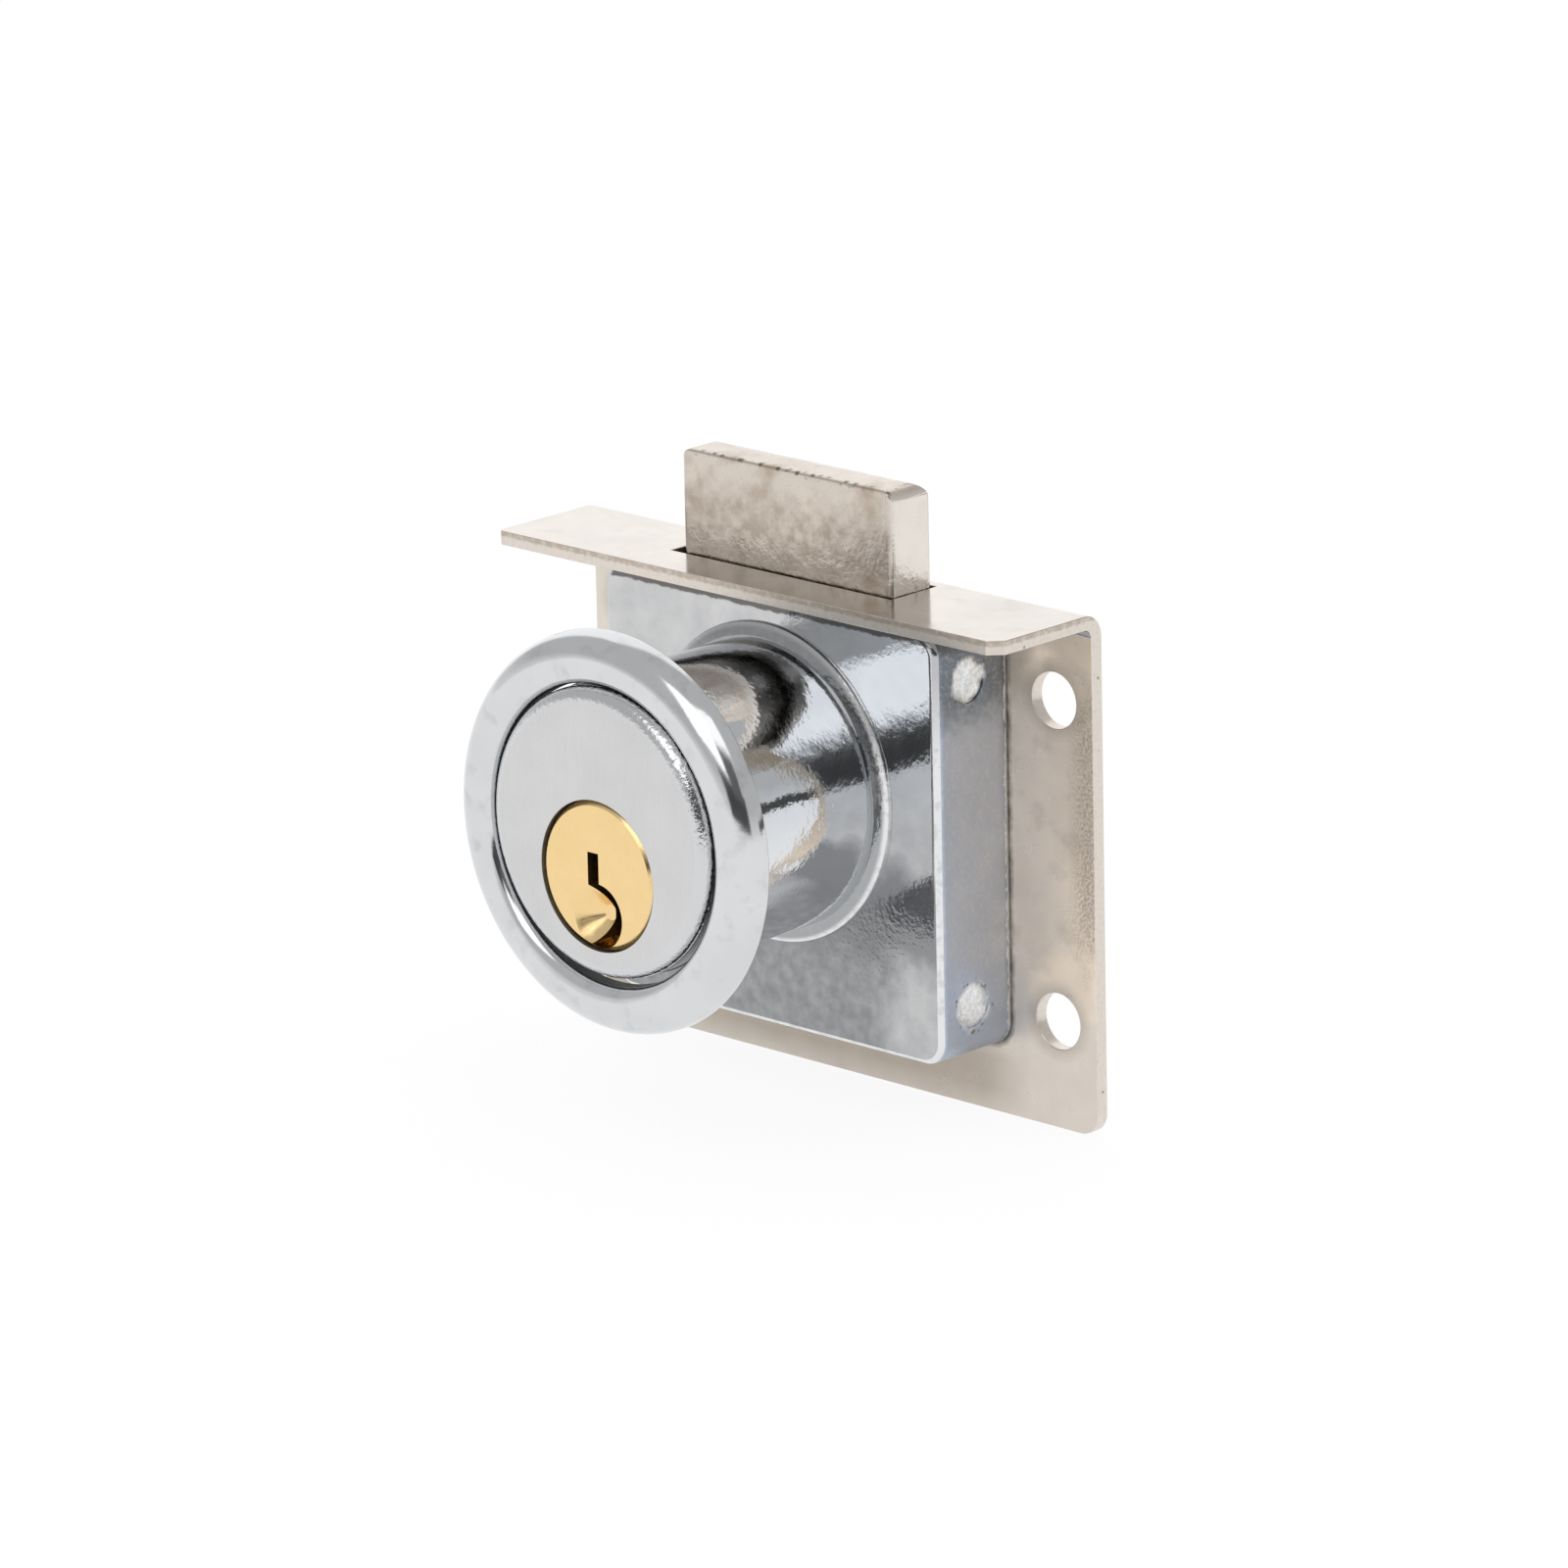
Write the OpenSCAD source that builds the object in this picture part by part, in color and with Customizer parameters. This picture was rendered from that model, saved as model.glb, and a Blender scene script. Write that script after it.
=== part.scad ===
// Pin-tumbler lock for a drawer or cabinet door, with a square bolt that rises through the plate's flange.
// Millimetres. X runs to the right as seen from the front, Y to the back and Z up.
// The origin is the centre of the four screw holes, on the front face of the upright plate.

/* [Mounting plate] */
// Width of the plate
plate_w = 51; // [46:0.5:64]
// Height of the plate, from its lower edge to the top of the flange
plate_h = 40; // [38:0.5:52]
// Thickness of the sheet
plate_t = 1.1; // [0.8:0.1:1.6]
// Depth of the flange, from the plate's front face to the flange's front edge
flange_depth = 10.2; // [9:0.2:16]
// Inner radius of the bend
bend_r = 0.7; // [0.4:0.1:1.2]
// Radius of the two lower corners
plate_corner_r = 1.7; // [0.5:0.1:3]
// Clip on the flange's right front corner (mm)
flange_clip = 1; // [0.4:0.1:2]
// Clip on the flange's left front corner (mm)
flange_clip_left = 0.3; // [0.1:0.1:2]
// Distance of a screw hole's centre from the plate's side edge
hole_inset = 3.8; // [3.2:0.1:4.4]
// Distance between the screw holes up the plate
hole_spacing_z = 24.6; // [20:0.1:26]
// Diameter of a screw hole
hole_d = 4.3; // [3:0.1:4.8]
// Height of the lower screw holes above the plate's lower edge
hole_rise = 8.25; // [7:0.05:10]
// Gap between the bolt and the front and back edges of its slot in the flange
slot_gap = 0.3; // [0.15:0.05:0.5]

/* [Case] */
// Width of the case
case_w = 34; // [32:0.5:35]
// Depth of the case in front of the plate
case_d = 7.6; // [7.4:0.1:9]
// Height of the case's lower face above the plate's lower edge
case_rise = 5.35; // [4:0.05:6.5]
// Gap between the top of the case and the flange
case_gap = 0.3; // [0.1:0.1:1]
// Thickness of the case's walls
case_wall = 1.6; // [1.2:0.1:1.8]
// Radius of the case's four corners, as seen from the front
case_corner_r = 2; // [1.5:0.1:3]
// Rounding of the case's front edges
case_edge_r = 0.7; // [0.4:0.1:1.4]
// Thickness of the ribs that guide the bolt
guide_t = 1.5; // [1:0.1:2]
// Diameter of the shallow ejector marks on the side walls
mark_d = 3.4; // [2:0.1:4.5]
// Distance of the marks' centres from the plate
mark_out = 4.2; // [3:0.1:5]
// Depth of an ejector mark
mark_depth = 0.1; // [0.05:0.05:0.5]
// Distance between the marks, and between the upper and lower posts
post_spacing = 24.8; // [22:0.2:26]
// Diameter of a cast post where it passes through the plate
post_d = 2.4; // [1.6:0.1:2.8]
// Diameter of a post's spread end behind the plate
post_head_d = 3.8; // [3:0.1:4.2]

/* [Barrel] */
// Diameter of the barrel
barrel_d = 22.2; // [21.6:0.1:24]
// Length of the barrel, from the case's front to the front disc
barrel_len = 18.4; // [17.6:0.1:26]
// Height of the barrel's axis above the centre of the screw holes
barrel_rise = 3.85; // [3:0.05:4.5]
// Thickness of the barrel's wall
barrel_wall = 1.5; // [1.2:0.1:1.7]
// Thickness of the front disc
disc_t = 2.5; // [1.8:0.1:3]
// Rounding of the disc's edge
disc_edge_r = 1.1; // [0.4:0.1:1.4]
// Step from the barrel down to the seat for the trim ring
seat_step = 0.2; // [0.16:0.01:0.4]
// Length of the seat for the trim ring
seat_len = 3.2; // [2:0.1:4]
// Diameter of the collar at the foot of the barrel
collar_d = 24.5; // [23:0.1:27]
// Height of the collar
collar_h = 0.8; // [0.5:0.1:1.4]
// Rounding of the collar's edge
collar_edge_r = 0.35; // [0.1:0.05:0.45]
// Width of the rib in the bore that keys the pin housing
rib_w = 2; // [1:0.1:3]
// Height of that rib
rib_h = 0.9; // [0.5:0.1:1.2]
// Width of a lump staked over the pin housing's rim
stake_w = 2.4; // [1.5:0.1:3]
// Reach of a staked lump over the rim
stake_reach = 1.3; // [0.8:0.1:1.5]

/* [Trim ring] */
// Outer diameter of the trim ring
ring_d = 30.4; // [29:0.2:38]
// Radial play of the trim ring on the barrel
ring_play = 0.5; // [0.35:0.05:0.8]
// Height of the trim ring
ring_h = 2.4; // [2.4:0.1:4]
// Thickness of the ring's pressed sheet
ring_t = 0.6; // [0.4:0.05:0.8]
// Rounding from the ring's crest to its outer edge
ring_dome_r = 2.2; // [1:0.1:2.2]
// Slope of the flat zone inside the crest, in degrees
ring_slope = 12; // [0:1:20]
// Distance that the ring stands behind the disc's face
ring_set_back = 0.1; // [0:0.05:1]
// Gap left between the hanging ring's bore and the top of the barrel
ring_rest_gap = 0.25; // [0.1:0.05:0.3]

/* [Plug] */
// Diameter of the plug's head
plug_d = 11.4; // [11:0.1:11.8]
// Diameter of the plug behind its head
plug_body_d = 10.4; // [10:0.1:10.7]
// Distance of the plug's axis below the barrel's axis
plug_drop = 3.15; // [2.9:0.05:3.3]
// Depth of the plug's face behind the disc's face
plug_recess = 0.05; // [0:0.05:0.8]
// Chamfer round the plug's face
plug_chamfer = 0.4; // [0.2:0.1:1]
// Diameter of the neck that the clip sits in
neck_d = 7; // [6:0.1:7.4]
// Diameter of the tail that carries the crank
tail_d = 8; // [7.6:0.1:8.4]
// Width across the flats of the tail
tail_flats = 5.2; // [4:0.1:6]

/* [Keyway] */
// Width of the keyway's straight upper part
slot_w = 1.1; // [0.8:0.05:1.3]
// Height of the keyway's top above the plug's axis
slot_top = 1.7; // [1:0.1:2]
// Place of the upper part's right side, from the plug's axis
slot_right = 0.1; // [-0.3:0.05:0.2]
// Radius of the keyway's outer curve
curve_r = 2.5; // [2.4:0.1:2.6]
// Width of the curved part at its middle
curve_w = 2; // [1.2:0.05:2.2]
// Depth of the curve's centre below the plug's axis
curve_drop = 3.1; // [2.6:0.1:3.3]
// Place of the outer curve's centre, from the plug's axis
curve_x = -0.1; // [-0.6:0.1:0.2]
// Radius of the inner curve
curve_inner_r = 2.6; // [2.3:0.05:3]
// Radius of the conical key guide at the plug's face
guide_cone_r = 2.4; // [1.6:0.1:2.4]
// Depth of the conical key guide
guide_cone_depth = 1.4; // [0.6:0.1:1.6]
// Solid length of the plug behind the keyway
keyway_end = 0.8; // [0.5:0.1:1.2]

/* [Pins] */
// Distance from pin to pin
pin_pitch = 2.9; // [2.6:0.05:3]
// Diameter of a pin
pin_d = 2.1; // [1.8:0.05:2.3]
// Lengths of the five key pins, from the front
key_pin_len = [4.2, 5.0, 3.8, 4.6, 5.3];
// Length of a driver pin
driver_len = 3.2; // [2.6:0.1:3.6]
// Chamfer on the ends of the pins
pin_chamfer = 0.15; // [0.1:0.05:0.3]
// Depth of the chambers below the plug's axis
chamber_depth = 1.3; // [0.8:0.1:1.6]
// Wire of a pin spring
spring_wire = 0.26; // [0.2:0.02:0.34]
// Turns of a pin spring
spring_turns = 5; // [3:1:6]

/* [Crank] */
// Travel of the bolt for a quarter turn of the plug
throw = 8; // [6:0.5:8.2]
// Thickness of the crank
cam_t = 1.5; // [1:0.1:1.6]
// Radius of the crank's hub
cam_hub_r = 5.5; // [5:0.1:6]
// Width of the metal round the drive pin
cam_rim = 0.6; // [0.4:0.1:0.8]
// Diameter of the drive pin
drive_pin_d = 2.2; // [1.6:0.1:2.4]
// Thickness of the plug's clip
clip_t = 0.45; // [0.3:0.05:0.5]
// Outer radius of the plug's clip
clip_r = 6.2; // [5.8:0.1:6.4]

/* [Bolt] */
// Width of the bolt
bolt_w = 21.4; // [19:0.2:22]
// Thickness of the bolt
bolt_t = 4.35; // [3:0.05:4.4]
// Height of the thrown bolt above the flange
bolt_out = 8.05; // [6:0.05:9]
// Length of the bolt below the drive pin when thrown
bolt_tail = 9.7; // [8:0.1:10]
// Rounding of the bolt's upright edges
bolt_edge_r = 0.5; // [0.2:0.1:1.2]
// Rounding of the bolt's top at its two ends
bolt_end_r = 1.1; // [0.3:0.1:1.5]
// Rounding of the bolt's top edge at the back
bolt_back_r = 1.8; // [0.3:0.1:1.8]
// Rounding of the bolt's top edge at the front
bolt_front_r = 0.3; // [0.1:0.1:1]
// Room for the bolt on each side, between its guides
bolt_side_play = 0.6; // [0.2:0.05:0.8]
// How far the bolt lies to the right within that room
bolt_shift = 0.45; // [0:0.05:0.45]
// Length of the leaf spring on the bolt's back
leaf_len = 18; // [14:0.5:18]
// Width of the leaf spring
leaf_w = 6; // [4:0.5:7]
// Thickness of the leaf spring
leaf_t = 0.4; // [0.2:0.05:0.5]

/* [Clearances] */
// Radial running clearance of the plug and the pins
run_gap = 0.05; // [0.02:0.01:0.08]
// Radial clearance of fixed pieces in their seats
seat_gap = 0.03; // [0.02:0.01:0.06]
// Gap between faces that slide or turn past each other
face_gap = 0.05; // [0.02:0.01:0.1]
// Gap between the bolt and the walls in front of it and round its slots
slide_gap = 0.15; // [0.1:0.05:0.3]
// Gap between the crank and the bolt behind it
cam_gap = 0.3; // [0.1:0.05:0.4]
// Gap between the leaf spring's crown and the plate
leaf_gap = 0.1; // [0.05:0.05:0.2]

/* [Hidden] */
$fn = 64;

// Length by which a cutting shape runs past the surface that it opens
past = 1;

// Heights, from the centre of the screw holes
plate_bottom = -hole_spacing_z / 2 - hole_rise;
flange_top = plate_bottom + plate_h;
flange_under = flange_top - plate_t;
case_bottom = plate_bottom + case_rise;
case_top = flange_under - case_gap;
case_middle = (case_bottom + case_top) / 2;
barrel_z = barrel_rise;
plug_z = barrel_z - plug_drop;
hole_spacing_x = plate_w - 2 * hole_inset;

// Depths, from the plate's front face, where the front is negative
case_front = -case_d;
disc_face = case_front - barrel_len;
housing_front = disc_face + disc_t;
plug_face = disc_face + plug_recess;
cavity_front = case_front + case_wall;
bolt_front = cavity_front + slide_gap;
bolt_back = bolt_front + bolt_t;

// Places between the bolt and the pin housing, from the back to the front
pin_end = bolt_back - slide_gap;
cam_back = bolt_front - cam_gap;
cam_front = cam_back - cam_t;
clip_back = cam_front - face_gap;
clip_front = clip_back - clip_t;
housing_back = clip_front - face_gap;
housing_len = housing_back - housing_front;

// Radii
barrel_r = barrel_d / 2;
seat_r = barrel_r - seat_step;
bore_r = barrel_r - barrel_wall;
housing_r = bore_r - seat_gap;
plug_r = plug_d / 2;
plug_body_r = plug_body_d / 2;
pin_r = pin_d / 2;
chamber_r = pin_r + run_gap;
drive_pin_r = drive_pin_d / 2;
ring_bore_r = barrel_r + ring_play;
ring_crest_r = ring_d / 2 - ring_dome_r;
ring_z = barrel_z - ring_play + ring_rest_gap;

// The crank turns from 45 degrees above level to 45 degrees below it
crank_angle = 45;
crank_r = throw / 2 / sin(crank_angle);
crank_x = crank_r * cos(crank_angle);
crank_z = plug_z + throw / 2;
cam_reach = crank_r + drive_pin_r + cam_rim;

// The drive pin leaves the bolt's straight line by this much on its way
crank_bow = crank_r * (crank_angle * PI / 180 - sin(crank_angle)) * 0.4;

// Bolt
bolt_top = flange_top + bolt_out;
bolt_bottom = crank_z - bolt_tail;
bolt_x = bolt_shift;
way_w = bolt_w + 2 * bolt_side_play;
pin_slot_h = drive_pin_d + 2 * (crank_bow + slide_gap);
pin_slot_left = crank_x - drive_pin_r - bolt_side_play;
pin_slot_right = crank_r + drive_pin_r + bolt_side_play;

// The posts stand half way between the guides and the side walls
post_x = (way_w / 2 + guide_t + case_w / 2 - case_wall) / 2;

// Middle of the leaf spring, from the middle of the bolt, on the left and clear of the bend when thrown
leaf_x = -bolt_w / 4;
leaf_z = bolt_bottom + leaf_len / 2 + 2;

// Pins
pin_count = len(key_pin_len);
pin_middle = (housing_front + housing_back) / 2;
key_pin_top = plug_z + sqrt(pow(plug_body_r + run_gap, 2) - pin_r * pin_r) - face_gap;
driver_bottom = plug_z + plug_body_r + face_gap;
driver_top = driver_bottom + driver_len;
spring_bottom = driver_top + face_gap;
spring_top = barrel_z + sqrt(bore_r * bore_r - pin_r * pin_r) - face_gap;

// Colours, as the photograph shows them
chrome = [0.67, 0.68, 0.69];
nickel = [0.77, 0.71, 0.64];
brass = [0.86, 0.62, 0.29];
zinc = [0.62, 0.63, 0.65];
steel = [0.70, 0.70, 0.72];

function pin_y(i) = pin_middle + (i - (pin_count + 1) / 2) * pin_pitch;

// Moves children to the plane y and turns their +Z to the front, so that their plan faces the viewer
module facing_front(y, x = 0, z = 0) {
    translate([x, y, z]) rotate([90, 0, 0]) children();
}

// Cylinder from the plane back_y forward to front_y
module round_bar(r, back_y, front_y, x = 0, z = 0) {
    facing_front(back_y, x, z) cylinder(r = r, h = back_y - front_y);
}

// Flat rectangle with four round corners
module round_rect(w, h, r) {
    square([w - 2 * r, h], center = true);
    square([w, h - 2 * r], center = true);
    for (sx = [-1, 1], sy = [-1, 1])
        translate([sx * (w / 2 - r), sy * (h / 2 - r)]) circle(r = r);
}

// Rectangle from y = 0 up to h, whose two upper corners are round
module top_round_rect(w, h, left_r, right_r) {
    translate([-w / 2, 0]) square([w, h - max(left_r, right_r)]);
    translate([-w / 2 + left_r, 0]) square([w - left_r - right_r, h]);
    corner_pillar(-1, w, h, left_r);
    corner_pillar(1, w, h, right_r);
}

// Side of a rectangle of width w, from y = 0 up to its round corner at the height h
module corner_pillar(side, w, h, r) {
    translate([side * (w / 2 - r), h - r]) circle(r = r);
    translate([side > 0 ? w / 2 - r : -w / 2, 0]) square([r, h - r]);
}

// Open coil along Z, swept ring by ring
module coil(middle_r, wire_r, turns, height) {
    steps = 10;
    sides = 6;
    rings = turns * steps;
    climb = atan(height / turns / (2 * PI * middle_r));
    function wire_point(i, j) =
        let (turn = 360 * i / steps, around = 360 * j / sides)
        let (out = middle_r + wire_r * cos(around), lift = wire_r * sin(around))
        [
            out * cos(turn) + lift * sin(climb) * sin(turn),
            out * sin(turn) - lift * sin(climb) * cos(turn),
            height * i / rings + lift * cos(climb)
        ];
    points = [for (i = [0:rings], j = [0:sides - 1]) wire_point(i, j)];
    walls = [
        for (i = [0:rings - 1], j = [0:sides - 1])
            let (a = i * sides + j, b = i * sides + (j + 1) % sides)
            each [[a, a + sides, b + sides], [a, b + sides, b]]
    ];
    first_end = [for (j = [0:sides - 1]) j];
    last_end = [for (j = [sides - 1:-1:0]) rings * sides + j];
    polyhedron(points = points, faces = concat([first_end], walls, [last_end]));
}

// Side view of the bent sheet, drawn with the depth across and the height up
module plate_section() {
    outer_r = bend_r + plate_t;
    translate([0, plate_bottom]) square([plate_t, plate_h - outer_r]);
    translate([-flange_depth, flange_under]) square([flange_depth - bend_r, plate_t]);
    translate([-bend_r, flange_top - outer_r]) intersection() {
        difference() {
            circle(r = outer_r);
            circle(r = bend_r);
        }
        square(outer_r);
    }
}

module mounting_plate() {
    color(nickel)
    difference() {
        translate([-plate_w / 2, 0, 0]) rotate([90, 0, 90]) linear_extrude(plate_w) plate_section();
        for (side = [-1, 1]) {
            for (level = [-1, 1]) {
                round_bar(hole_d / 2, plate_t + past, -past,
                          side * hole_spacing_x / 2, level * hole_spacing_z / 2);
                plate_post_hole(side, level);
            }
            lower_corner_cut(side);
            flange_corner_cut(side);
        }
        bolt_way(flange_under - past, flange_top + past, slot_gap);
    }
}

// Rounds one lower corner of the plate
module lower_corner_cut(side) {
    translate([side * (plate_w / 2 - plate_corner_r), 0, plate_bottom + plate_corner_r])
    difference() {
        translate([side > 0 ? 0 : -plate_corner_r - past, -past, -plate_corner_r - past])
            cube([plate_corner_r + past, plate_t + 2 * past, plate_corner_r + past]);
        round_bar(plate_corner_r, plate_t + 2 * past, -2 * past);
    }
}

// Clips one front corner of the flange
module flange_corner_cut(side) {
    clip = side > 0 ? flange_clip : flange_clip_left;
    translate([side * plate_w / 2, -flange_depth, flange_under - past])
        rotate([0, 0, 45])
            cube([clip * sqrt(2), clip * sqrt(2), 2 * (plate_t + 2 * past)], center = true);
}

// Hole for a cast post, opened out behind the plate for its spread end
module plate_post_hole(side, level) {
    x = side * post_x;
    z = case_middle + level * post_spacing / 2;
    flare = (post_head_d - post_d) / 2;
    round_bar(post_d / 2 + seat_gap, plate_t + past, -past, x, z);
    facing_front(plate_t, x, z)
        cylinder(r1 = post_head_d / 2 + seat_gap, r2 = post_d / 2 + seat_gap, h = flare);
}

// Space that the bolt slides in, with a gap in front of and behind it
module bolt_way(from_z, to_z, gap) {
    translate([-way_w / 2, bolt_front - gap, from_z])
        cube([way_w, bolt_t + 2 * gap, to_z - from_z]);
}

// Solid case, rounded at its corners and front edges
module case_block() {
    case_h = case_top - case_bottom;
    intersection() {
        facing_front(0, 0, case_middle) linear_extrude(case_d) round_rect(case_w, case_h, case_corner_r);
        translate([0, 0, case_bottom]) linear_extrude(case_h) rotate(180)
            top_round_rect(case_w, case_d, case_edge_r, case_edge_r);
        translate([-case_w / 2, 0, case_middle]) rotate([0, 90, 0]) linear_extrude(case_w) rotate(180)
            top_round_rect(case_h, case_d, case_edge_r, case_edge_r);
    }
}

// Barrel with its collar, trim-ring seat and rounded front disc
module barrel_block() {
    facing_front(case_front + case_wall / 2, 0, barrel_z)
    rotate_extrude() {
        root = case_wall / 2;
        square([collar_d / 2, root + collar_h - collar_edge_r]);
        square([collar_d / 2 - collar_edge_r, root + collar_h]);
        translate([collar_d / 2 - collar_edge_r, root + collar_h - collar_edge_r]) intersection() {
            circle(r = collar_edge_r);
            square(collar_edge_r);
        }
        square([barrel_r, root + barrel_len - seat_len]);
        square([seat_r, root + barrel_len - disc_edge_r]);
        square([seat_r - disc_edge_r, root + barrel_len]);
        translate([seat_r - disc_edge_r, root + barrel_len - disc_edge_r]) intersection() {
            circle(r = disc_edge_r);
            square(disc_edge_r);
        }
    }
}

module lock_case() {
    color(chrome) {
        difference() {
            union() {
                case_block();
                barrel_block();
            }
            case_cavity();
            bend_relief();
            round_bar(bore_r, cavity_front + past, housing_front, 0, barrel_z);
            round_bar(cam_reach + slide_gap, cavity_front + past, cam_front - slide_gap, 0, plug_z);
            round_bar(plug_r + run_gap, housing_front + past, disc_face - past, 0, plug_z);
            for (side = [-1, 1], level = [-1, 1])
                translate([side * (case_w / 2 - mark_depth), -mark_out,
                           case_middle + level * post_spacing / 2])
                    rotate([0, side * 90, 0]) cylinder(d = mark_d, h = past);
        }
        for (side = [-1, 1]) {
            bolt_guide(side);
            for (level = [-1, 1])
                cast_post(side, level);
        }
        for (a = [30, 90, 150])
            stake(a);
        housing_key(0);
    }
}

// Space inside the case, open to the plate, and the way out through its top for the bolt
module case_cavity() {
    inner_w = case_w - 2 * case_wall;
    translate([-inner_w / 2, cavity_front, case_bottom + case_wall])
        cube([inner_w, case_d + past, case_top - case_bottom - 2 * case_wall]);
    translate([-way_w / 2, cavity_front, case_bottom + case_wall])
        cube([way_w, case_d + past, case_top - case_bottom]);
}

// Clears the inside of the plate's bend along the case's upper back edge
module bend_relief() {
    side = bend_r * sqrt(2);
    translate([0, 0, case_top]) rotate([45, 0, 0]) cube([case_w + 2 * past, side, side], center = true);
}

// Rib that guides one side of the bolt
module bolt_guide(side) {
    inner_x = way_w / 2;
    x = side > 0 ? inner_x : -inner_x - guide_t;
    translate([x, cavity_front - face_gap, case_bottom + case_wall - face_gap])
        cube([guide_t, -cavity_front + face_gap, case_top - case_bottom - 2 * case_wall + 2 * face_gap]);
}

// Post cast in the case's corner, whose end is spread behind the plate
module cast_post(side, level) {
    x = side * post_x;
    z = case_middle + level * post_spacing / 2;
    flare = (post_head_d - post_d) / 2;
    block_w = case_w / 2 - way_w / 2 - guide_t;
    translate([side > 0 ? way_w / 2 + guide_t - face_gap : -case_w / 2 + case_wall - face_gap,
               cavity_front - face_gap, z - post_head_d / 2])
        cube([block_w - case_wall + 2 * face_gap, -cavity_front + face_gap, post_head_d]);
    round_bar(post_d / 2, plate_t, -face_gap, x, z);
    facing_front(plate_t, x, z) cylinder(r1 = post_head_d / 2, r2 = post_d / 2, h = flare);
}

// Lump staked over the rim of the pin housing to hold it in the barrel
module stake(angle) {
    translate([0, 0, barrel_z])
    intersection() {
        difference() {
            round_bar(bore_r + face_gap, cam_front - slide_gap, housing_back);
            round_bar(bore_r - stake_reach, 0, housing_back - past);
        }
        rotate([0, -angle, 0]) translate([0, housing_back - past, -stake_w / 2])
            cube([bore_r + past, 3 * past, stake_w]);
    }
}

// Rib along the bore that stops the housing turning, and with a gap the groove for it
module housing_key(gap) {
    key_w = rib_w + 2 * gap;
    key_in = rib_h + gap;
    translate([0, 0, barrel_z])
    intersection() {
        difference() {
            round_bar(bore_r + (gap > 0 ? past : face_gap), housing_back + (gap > 0 ? past : 0),
                      housing_front - (gap > 0 ? past : 0));
            round_bar(bore_r - key_in, 0, housing_front - 2 * past);
        }
        translate([-barrel_r - past, housing_front - past, -key_w / 2])
            cube([barrel_r, housing_len + 2 * past, key_w]);
    }
}

module trim_ring() {
    color(chrome)
    facing_front(disc_face + ring_set_back + ring_h, 0, ring_z)
    difference() {
        ring_form(ring_bore_r, 0, 0);
        ring_form(ring_bore_r + ring_t, ring_t, past);
        // Opens the bore, and ends the lip that is turned back along it short of the ring's back
        translate([0, 0, -past]) cylinder(r = ring_bore_r + 2 * ring_t, h = ring_h / 5 + past);
        translate([0, 0, -past]) cylinder(r = ring_bore_r, h = ring_h + 2 * past);
    }
}

// Solid with the ring's face, set in by inset, filled from its back, or below it, up to the face
module ring_form(start_r, inset, below) {
    dome_r = ring_dome_r - inset;
    dome_z = ring_h - ring_dome_r;
    // The sloped inner zone meets the dome where the dome has the same slope
    meet_r = ring_crest_r - dome_r * sin(ring_slope);
    meet_z = dome_z + dome_r * cos(ring_slope);
    translate([0, 0, -below]) cylinder(r = ring_crest_r + dome_r, h = dome_z + below);
    rotate_extrude() translate([ring_crest_r, dome_z]) intersection() {
        circle(r = dome_r);
        translate([meet_r - ring_crest_r, -dome_z]) square(2 * dome_r);
    }
    rotate_extrude() polygon([
        [start_r, -below], [start_r, meet_z - (meet_r - start_r) * tan(ring_slope)], [meet_r, meet_z],
        [ring_crest_r + dome_r / 2, dome_z], [ring_crest_r + dome_r / 2, -below]
    ]);
}

module pin_housing() {
    color(zinc)
    difference() {
        round_bar(housing_r, housing_back, housing_front, 0, barrel_z);
        round_bar(plug_body_r + run_gap, housing_back + past, housing_front - past, 0, plug_z);
        for (i = [1:pin_count])
            translate([0, pin_y(i), plug_z]) cylinder(r = chamber_r, h = barrel_d);
        housing_key(seat_gap);
    }
}

// Outline of the keyway, as seen from the front, from the plug's axis
module keyway_section() {
    inner_x = curve_x + curve_r - curve_w - curve_inner_r;
    slot_left = slot_right - slot_w;
    // The slot starts where its left side meets the inner arc
    slot_low = sqrt(pow(curve_inner_r, 2) - pow(slot_left - inner_x, 2)) - curve_drop;
    translate([slot_left, slot_low])
        square([slot_w, slot_top - slot_low]);
    intersection() {
        difference() {
            translate([curve_x, -curve_drop]) circle(r = curve_r);
            translate([inner_x, -curve_drop]) circle(r = curve_inner_r);
        }
        translate([slot_left, -plug_d]) square([plug_d, plug_d]);
    }
}

module plug() {
    head_back = housing_front - face_gap;
    keyway_back = housing_back - keyway_end;
    color(brass)
    difference() {
        union() {
            facing_front(plug_face + plug_chamfer, 0, plug_z)
                cylinder(r1 = plug_r, r2 = plug_r - plug_chamfer, h = plug_chamfer);
            round_bar(plug_r, head_back, plug_face + plug_chamfer, 0, plug_z);
            round_bar(plug_body_r, housing_back, head_back, 0, plug_z);
            round_bar(neck_d / 2, clip_back + face_gap, housing_back, 0, plug_z);
            plug_tail(0);
        }
        facing_front(keyway_back, 0, plug_z) linear_extrude(keyway_back - plug_face + past) keyway_section();
        facing_front(plug_face + guide_cone_depth, curve_x, plug_z - curve_drop)
            cylinder(r1 = guide_cone_r * 0.25, r2 = guide_cone_r, h = guide_cone_depth);
        for (i = [1:pin_count])
            translate([0, pin_y(i), plug_z - chamber_depth]) cylinder(r = chamber_r, h = plug_d);
    }
}

// Tail with two flats, and with a gap the hole that fits over it
module plug_tail(gap) {
    start = gap > 0 ? cam_front - past : clip_back + face_gap;
    end = gap > 0 ? cam_back + past : cam_back;
    intersection() {
        round_bar(tail_d / 2 + gap, end, start, 0, plug_z);
        translate([-tail_flats / 2 - gap, start - past, plug_z - tail_d])
            cube([tail_flats + 2 * gap, end - start + 2 * past, 2 * tail_d]);
    }
}

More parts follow.
